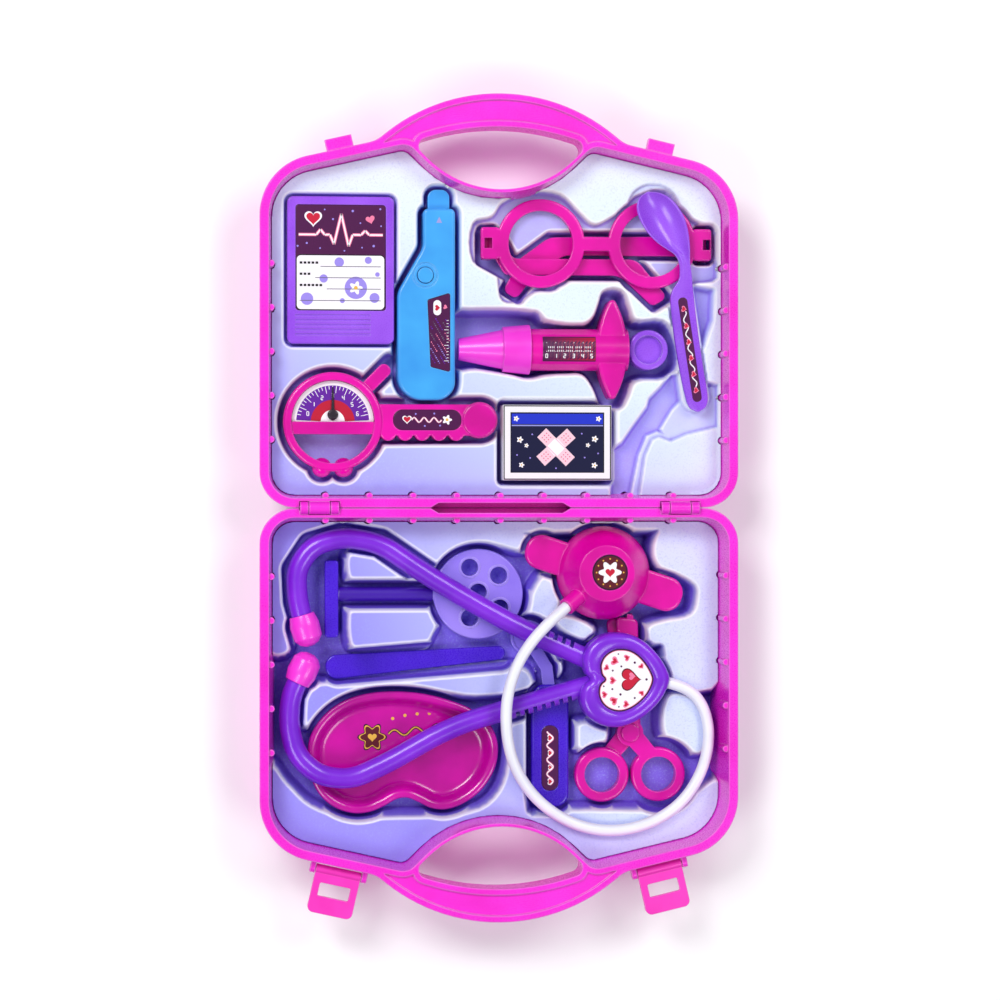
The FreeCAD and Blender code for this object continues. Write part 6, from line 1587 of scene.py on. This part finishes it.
@dataclass
class BandageBox(Assembly):
    """Folded carton of adhesive bandages, printed on top."""

    nodes: dict[str, Finish] = field(default_factory=lambda: {"bandage_box": Finish.CARTON})
    rounding: float = 0.15
    face: float = 24.5

    def frame(self, inset: float, radius: float = 0.2) -> Array:
        """Rounded rectangle inset from the carton's edges."""
        return rounded([(x, y, radius) for x, y, _ in BOX_PLAN], -inset)

    def details(self) -> list[bpy.types.Object]:
        """Print a navy panel with a blue strip, two crossed bandages, flowers and dots.

        Returns:
            The new pieces.
        """
        art = Print("bandage_box_print", "bandage_box", self.face)
        art.draw(self.frame(0.25), Ink.BLACK, 1)
        art.draw(self.frame(0.8), Ink.WHITE, 2, Ink.GREY, 0.08)
        art.draw(self.frame(3.6, 1.6), Ink.BLACK, 3)
        art.draw(self.frame(4.0, 1.4), Ink.NAVY, 4)
        art.draw(np.array([(6.4, 40.6), (51.0, 40.6), (51.0, 45.6), (6.4, 45.6)]), Ink.BLUE, 5)
        art.draw(np.array([(6.4, 39.6), (51.0, 39.6), (51.0, 40.2), (6.4, 40.2)]), Ink.BLUE, 5, Ink.WHITE, 0.3)
        for over, (start, end) in enumerate((((20.5, 22.6), (35.5, 36.2)), ((21.0, 36.4), (35.0, 22.4)))):
            strip = bar(start, end, 6.2)
            deep = 5 + 3 * over
            middle = strip.mean(axis=0)
            along = (np.array(end) - np.array(start)) / np.linalg.norm(np.array(end) - np.array(start))
            art.draw(strip, Ink.ROSE, deep, Ink.WHITE, 0.55)
            pad = bar(tuple(middle - along * 3.4), tuple(middle + along * 3.4), 5.0)
            art.draw(pad, Ink.WHITE, deep + 1)
            for share in (-8.0, -6.6, -5.2, 5.2, 6.6, 8.0):
                for across in (-1.5, 0.0, 1.5):
                    spot = middle + along * share + np.array([-along[1], along[0]]) * across
                    art.draw(disc(spot[0], spot[1], 0.32, 8), Ink.ROSE, deep + 2, Ink.RED, 0.4)
        for x, y, r in ((8.6, 43.2, 1.1), (48.8, 43.2, 1.1), (10.4, 33.0, 1.3), (13.6, 30.2, 0.9), (47.0, 33.4, 1.3),
                        (43.6, 30.4, 0.9), (46.8, 20.6, 1.2), (11.2, 20.8, 1.1)):
            art.draw(petals(x, y, r), Ink.WHITE, 6)
            art.draw(disc(x, y, r * 0.35, 10), Ink.GOLD, 7)
        spots = ((9.0, 25.6), (15.4, 24.2), (16.4, 35.6), (40.6, 36.0), (42.0, 24.4), (48.6, 26.4), (28.0, 19.2))
        art.dots([(x, y, 0.4) for x, y in spots], Ink.LILAC, 6, 10)
        return [art.build()]


@dataclass
class Stethoscope(Assembly):
    """Heart-shaped hub with two bent tubes, ear tips, a soft hose and the chest piece."""

    nodes: dict[str, Finish] = field(default_factory=lambda: {
        "ear_tube_upper": Finish.VIOLET, "ear_tube_lower": Finish.VIOLET, "ear_tip_upper": Finish.PINK,
        "ear_tip_lower": Finish.PINK, "chest_piece_body": Finish.MAGENTA, "chest_piece_diaphragm": Finish.MAGENTA,
        "chest_piece_label": Finish.STICKER})
    hose_route: list[tuple[float, float, float]] = field(default_factory=lambda: [
        (79.0, -84.4, 21.6), (91.0, -86.6, 21.6), (100.5, -95.0, 21.6), (104.4, -110.0, 21.6), (101.0, -128.0, 21.6),
        (90.5, -144.5, 21.6), (73.5, -154.8, 21.6), (54.2, -158.0, 21.6), (35.0, -153.6, 21.6), (18.5, -142.0, 22.4),
        (7.5, -126.0, 25.6), (3.0, -109.0, 30.4), (3.2, -91.5, 30.4), (8.0, -76.5, 29.4), (15.0, -64.8, 30.6),
        (23.8, -55.4, 30.6), (32.0, -48.6, 27.2), (39.6, -42.6, 22.8)])
    hose_diameter: float = 5.6
    hose_length: float = 274.0
    heart_front: Points = field(default_factory=lambda: [
        (2.0, 19.8), (0.3, 19.8), (0.0, 20.1), (0.0, 24.0), (0.35, 25.6), (1.2, 26.7), (2.4, 27.3), (3.6, 27.5)])
    heart_border: Points = field(default_factory=lambda: [
        (0.3, 27.4), (0.62, 27.1), (0.84, 26.7), (0.92, 26.2), (0.96, 25.8), (1.0, 25.7), (1.06, 25.7)])
    heart_middle: tuple[float, float] = (62.6, -83.7)
    label_share: tuple[float, float] = (0.62, 0.67)
    heart_back: Points = field(default_factory=lambda: [
        (4.0, 12.0), (3.0, 12.0), (1.4, 12.4), (0.4, 13.4), (0.0, 15.0), (0.0, 19.3), (0.3, 19.6), (2.0, 19.6)])
    heart_face: float = 25.72
    chest_face: float = 28.8
    chest_middle: tuple[float, float] = (53.9, -31.3)

    def hose(self) -> bpy.types.Object:
        """Soft hose from the heart round to the chest piece: a smooth spline with the route's points.

        Returns:
            The new piece.
        """
        curve = bpy.data.curves.new("stethoscope_hose", "CURVE")
        curve.dimensions = "3D"
        line = curve.splines.new("NURBS")
        line.points.add(len(self.hose_route) - 1)
        route = np.array(self.hose_route) * MM
        line.points.foreach_set("co", np.column_stack([route, np.ones(len(route))]).ravel())
        line.order_u = 3
        line.use_endpoint_u = True
        line.resolution_u = 14
        curve.bevel_depth = self.hose_diameter / 2.0 * MM
        curve.bevel_resolution = 6
        curve.use_fill_caps = True
        obj = bpy.data.objects.new("stethoscope_hose", curve)
        bpy.context.scene.collection.objects.link(obj)
        dress(obj, Finish.HOSE)
        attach(obj, "stethoscope")
        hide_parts("stethoscope_tube")
        return obj

    def label_line(self) -> Array:
        """Outline of the hub's label: the heart's outline drawn in towards its middle."""
        middle = np.array(self.heart_middle)
        return middle + (even(spline(HEART_OUTLINE, 440), 200) - middle) * np.array(self.label_share)

    def hub(self) -> list[bpy.types.Object]:
        """Heart-shaped hub in two halves: a smooth heart outline with a rolled border, and its rounded back.

        Returns:
            The new pieces.
        """
        line = even(spline(HEART_OUTLINE, 440), 200)
        inner, label = inward(line, self.heart_front[-1][0]), self.label_line()
        rows = [(inward(line, inset), height) for inset, height in self.heart_front]
        rows += [(inner + share * (label - inner), height) for share, height in self.heart_border]
        rings = np.stack([np.column_stack([row, np.full(len(row), height)]) for row, height in rows])
        front = stand_in(skin("heart_hub_front", rings), Finish.VIOLET, "stethoscope", "violet_plastic",
                         "heart_front_cover")
        back = stand_in(dished("heart_hub_back", line, self.heart_back), Finish.VIOLET, "stethoscope",
                        "violet_plastic", "heart_back_cover")
        return [front, back]

    def heart_print(self) -> bpy.types.Object:
        """Print the hub's label: a dark edge, then hearts and dots round one larger heart.

        Returns:
            The new piece.
        """
        art = Print("heart_print", "stethoscope", self.heart_face)
        line = self.label_line()
        art.draw(inward(line, 0.1), Ink.NIGHT, 1)
        art.draw(inward(line, 0.8), Ink.ROSE, 2)
        art.draw(inward(line, 1.1), Ink.WHITE, 3)
        art.draw(heart(64.0, -83.4, 11.0, 90.0), Ink.MAROON, 4)
        art.draw(heart(64.0, -83.4, 9.8, 90.0), Ink.RED, 5)
        art.draw(heart(65.0, -81.8, 3.6, 90.0), Ink.ROSE, 6)
        for x, y, size, turn in ((56.6, -74.4, 4.4, 70.0), (62.6, -72.8, 3.4, 110.0), (52.6, -77.6, 3.2, 60.0),
                                 (56.2, -93.6, 4.4, 120.0), (62.2, -95.4, 3.6, 80.0), (51.6, -90.6, 3.4, 100.0),
                                 (69.6, -77.0, 3.0, 40.0), (69.8, -90.0, 3.0, 140.0), (55.6, -83.8, 3.8, 90.0)):
            art.draw(heart(x, y, size, turn), Ink.ROSE, 4)
            art.draw(heart(x, y, size * 0.6, turn), Ink.RED, 5)
        art.dots([(59.8, -77.0, 0.5), (66.4, -75.2, 0.6), (55.6, -79.0, 0.5), (59.4, -90.6, 0.6), (66.4, -92.4, 0.5),
                  (55.4, -88.0, 0.5), (72.2, -83.4, 0.6), (51.2, -86.6, 0.4), (58.6, -96.6, 0.4), (58.4, -71.0, 0.4),
                  (50.2, -80.2, 0.4)], Ink.PLUM, 4, 10)
        obj = art.build()
        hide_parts("heart_label")
        return obj

    def chest_print(self) -> bpy.types.Object:
        """Print the chest piece's label: a maroon round with a flower and a heart.

        Returns:
            The new piece.
        """
        art = Print("chest_print", "stethoscope", self.chest_face)
        x, y = self.chest_middle
        art.draw(disc(x, y, 8.5, 48), Ink.NIGHT, 1)
        art.draw(disc(x, y, 7.9, 48), Ink.MAROON, 2)
        art.draw(petals(x, y, 4.6, 6, 0.24), Ink.WHITE, 3)
        art.draw(heart(x, y, 4.6), Ink.RED, 4)
        art.dots([(spot[0], spot[1], 0.4) for spot in disc(x, y, 6.6, 12)], Ink.GOLD, 3, 10)
        return art.build()

    def details(self) -> list[bpy.types.Object]:
        """Make the hose, the hub and the prints."""
        return [self.hose(), *self.hub(), self.heart_print(), self.chest_print()]


@dataclass
class Hammer(Assembly):
    """Reflex hammer with a bar head and a disc with five holes."""

    nodes: dict[str, Finish] = field(default_factory=lambda: {
        "hammer_handle": Finish.HAMMER, "hammer_head": Finish.INDIGO})


@dataclass
class Depressor(Assembly):
    """Tongue depressor: a tapered strip."""

    nodes: dict[str, Finish] = field(default_factory=lambda: {"tongue_depressor": Finish.INDIGO})


@dataclass
class KidneyDish(Assembly):
    """Kidney-shaped dish with a rolled rim."""

    profile: Points = field(default_factory=lambda: [
        (9.0, 3.8), (6.0, 3.8), (4.6, 4.2), (3.4, 5.4), (2.0, 8.4), (0.9, 9.8), (0.15, 10.3), (0.0, 10.7), (0.3, 11.2),
        (1.1, 11.55), (2.2, 11.6), (3.3, 11.3), (4.1, 10.6), (4.8, 9.4), (5.8, 7.2), (6.7, 6.0), (7.8, 5.4),
        (9.2, 5.2), (10.5, 5.2)])
    floor: float = 5.2
    flower: tuple[float, float] = (-60.0, -112.0)

    def details(self) -> list[bpy.types.Object]:
        """Make the dish from its smooth outline, and print a flower with dots and a wave on its floor.

        Returns:
            The new pieces.
        """
        line = even(spline(DISH_OUTLINE, 520), 240)
        dish = stand_in(dished("kidney_dish_bowl", line, self.profile), Finish.DISH, "dish", "magenta_plastic",
                        "kidney_dish")
        art = Print("kidney_dish_print", "dish", self.floor)
        t = np.linspace(-52.0, -22.0, 50)
        wave = np.column_stack([t, -110.5 + 0.12 * (t + 52.0) + 1.6 * np.sin((t + 52.0) * 0.6)])
        art.ribbon(wave, [(1.5, Ink.NIGHT), (0.6, Ink.GOLD)])
        for layer, (size, ink) in enumerate(((6.0, Ink.NIGHT), (5.4, Ink.GOLD), (4.8, Ink.MAROON)), 1):
            art.draw(petals(*self.flower, size, 6, 0.22), ink, layer)
        art.draw(heart(*self.flower, 4.4), Ink.GOLD, 4)
        spots = ((-50.0, -103.0), (-44.0, -101.5), (-38.0, -100.8), (-32.0, -100.6))
        art.dots([(x, y, 0.8) for x, y in spots], Ink.GOLD, 1, 14)
        return [dish, art.build()]


@dataclass
class ThroatMirror(Assembly):
    """Throat mirror: a grip with a label, a bent neck and a small disc."""

    nodes: dict[str, Finish] = field(default_factory=lambda: {
        "throat_mirror_handle": Finish.INDIGO, "throat_mirror_neck": Finish.PERIWINKLE,
        "throat_mirror_label": Finish.STICKER})
    face: float = 11.1
    middle_x: float = 26.75

    def details(self) -> list[bpy.types.Object]:
        """Print hearts and a wavy line along the grip's label.

        Returns:
            The new pieces.
        """
        art = Print("throat_mirror_print", "throat_mirror", self.face)
        t = np.linspace(-135.5, -109.5, 60)
        wave = np.column_stack([self.middle_x + 1.5 * np.sin((t + 135.5) * 0.9), t])
        art.ribbon(wave, [(1.0, Ink.ROSE), (0.5, Ink.WHITE)])
        for y, size in ((-134.0, 3.2), (-127.0, 2.6), (-120.0, 3.0), (-112.6, 3.4)):
            art.draw(heart(self.middle_x, y, size, 90.0), Ink.WHITE, 3)
            art.draw(heart(self.middle_x, y, size * 0.72, 90.0), Ink.RED, 4)
        return [art.build()]


@dataclass
class Scissors(Assembly):
    """Play scissors: two halves on a rivet."""

    nodes: dict[str, Finish] = field(default_factory=lambda: {
        "scissors_half_left": Finish.MAGENTA, "scissors_half_right": Finish.MAGENTA, "scissors_rivet": Finish.MAGENTA})
    left_blade: Plan = field(default_factory=lambda: [
        (61.5, -109.0, 1.0), (70.5, -109.0, 1.0), (66.0, -53.6, 1.5), (55.2, -54.6, 3.0)])
    right_blade: Plan = field(default_factory=lambda: [
        (62.5, -109.0, 1.0), (71.5, -109.0, 1.0), (70.4, -54.6, 3.0), (59.6, -53.6, 1.5)])

    def details(self) -> list[bpy.types.Object]:
        """Make the blunt blades: a rounded plan with a chamfer along its edges, one over the other.

        Returns:
            The new pieces.
        """
        pieces = []
        for side, plan, low in (("left", self.left_blade, 3.7), ("right", self.right_blade, 7.2)):
            line = even(rounded(plan), 120)
            rows = [(1.2, low), (0.5, low), (0.0, low + 0.5), (0.0, low + 2.6), (0.5, low + 3.3), (1.2, low + 3.42)]
            pieces.append(stand_in(dished(f"scissors_blade_{side}", line, rows), Finish.MAGENTA, f"scissors_{side}",
                                   "magenta_plastic"))
        return pieces


@dataclass
class Studio:
    """Pale floor, soft light from large panels and a camera looking down as in the photograph.

    Attributes:
        target: Point that the camera looks at.
        away: Distance of the camera from it.
        lean: Lean of the camera in degrees.
        view_angle: Field of view in degrees.
        floor_size: Width of the floor.
        floor_level: Height of the floor, a little below the feet of the case.
        panels: Place in metres and power in watts of each light panel.
        panel_size: Width of the panels in metres.
        sky: Strength of the even light from all sides.
    """

    target: tuple[float, float, float] = (1.4, 3.8, 18.0)
    away: float = 1400.0
    lean: float = 6.0
    view_angle: float = 19.7
    floor_size: float = 9000.0
    floor_level: float = -0.3
    panels: dict[str, tuple[tuple[float, float, float], float]] = field(default_factory=lambda: {
        "far_left_panel": ((-0.68, 0.72, 1.3), 13.2), "far_right_panel": ((0.72, 0.66, 1.3), 7.8),
        "near_left_panel": ((-0.75, -0.62, 1.3), 6.8), "near_right_panel": ((0.72, -0.7, 1.3), 6.0)})
    panel_size: float = 0.6
    sky: float = 0.2

    def camera(self) -> None:
        """Camera above the case, leaning a little over its left side."""
        lens = bpy.data.cameras.new("camera")
        lens.angle = math.radians(self.view_angle)
        lens.clip_end = 10.0
        obj = bpy.data.objects.new("camera", lens)
        bpy.context.scene.collection.objects.link(obj)
        lean = math.radians(self.lean)
        back = Vector((-math.sin(lean), 0.0, math.cos(lean)))
        obj.location = (Vector(self.target) + back * self.away) * MM
        obj.rotation_euler = (0.0, -lean, 0.0)
        bpy.context.scene.camera = obj

    def panel(self, name: str, place: tuple[float, float, float], power: float) -> None:
        """Square light panel that faces the case.

        Args:
            name: Name of the panel.
            place: Its middle in metres.
            power: Its power in watts.
        """
        light = bpy.data.lights.new(name, "AREA")
        light.size = self.panel_size
        light.energy = power
        obj = bpy.data.objects.new(name, light)
        obj.location = place
        obj.rotation_euler = (-Vector(place)).to_track_quat("-Z", "Y").to_euler()
        bpy.context.scene.collection.objects.link(obj)

    def floor(self) -> None:
        """Plain pale floor under the case."""
        half, level = self.floor_size / 2.0, self.floor_level
        mesh = bpy.data.meshes.new("floor")
        corners = np.array([(-half, -half, level), (half, -half, level), (half, half, level), (-half, half, level)])
        mesh.from_pydata((corners * MM).tolist(), [], [[0, 1, 2, 3]])
        obj = bpy.data.objects.new("floor", mesh)
        material = bpy.data.materials.new("pale_floor")
        material.use_nodes = True
        feed(material.node_tree, Base_Color=linear("#FBFBFD"), Roughness=0.9)
        mesh.materials.append(material)
        bpy.context.scene.collection.objects.link(obj)

    def build(self) -> None:
        """Set up the camera, floor and lights; the panels stand low enough not to mirror in flat faces."""
        self.camera()
        self.floor()
        for name, (place, power) in self.panels.items():
            self.panel(name, place, power)
        world = bpy.data.worlds.new("studio")
        world.use_nodes = True
        light = world.node_tree.nodes["Background"].inputs
        light["Color"].default_value = (1.0, 1.0, 1.0, 1.0)
        light["Strength"].default_value = self.sky
        bpy.context.scene.world = world
        bpy.context.scene.view_settings.view_transform = "Standard"


def main() -> None:
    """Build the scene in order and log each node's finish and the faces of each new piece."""
    logging.basicConfig(level=logging.INFO, format="%(message)s")
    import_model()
    Studio().build()
    for part in (Stethoscope(), Case(), ChartBoard(), Thermometer(), Glasses(), Spoon(), Syringe(), DialGauge(),
                 BandageBox(), Hammer(), Depressor(), KidneyDish(), ThroatMirror(), Scissors()):
        part.build()
    trays = [LidTray("lid_formed_tray", "lid_insert_tray", "lid", Finish.LID_SHEET, CASE_PLAN, 23.0, 70.0),
             BaseTray("base_formed_tray", "base_insert_tray", "base", Finish.BASE_SHEET, BASE_PLAN, 18.5, -70.0,
                      inset=6.7, draft=1.6)]
    for tray in trays:
        LOG.info("%s: %d faces", tray.name, len(tray.build().data.polygons))


if __name__ == "__main__":
    main()
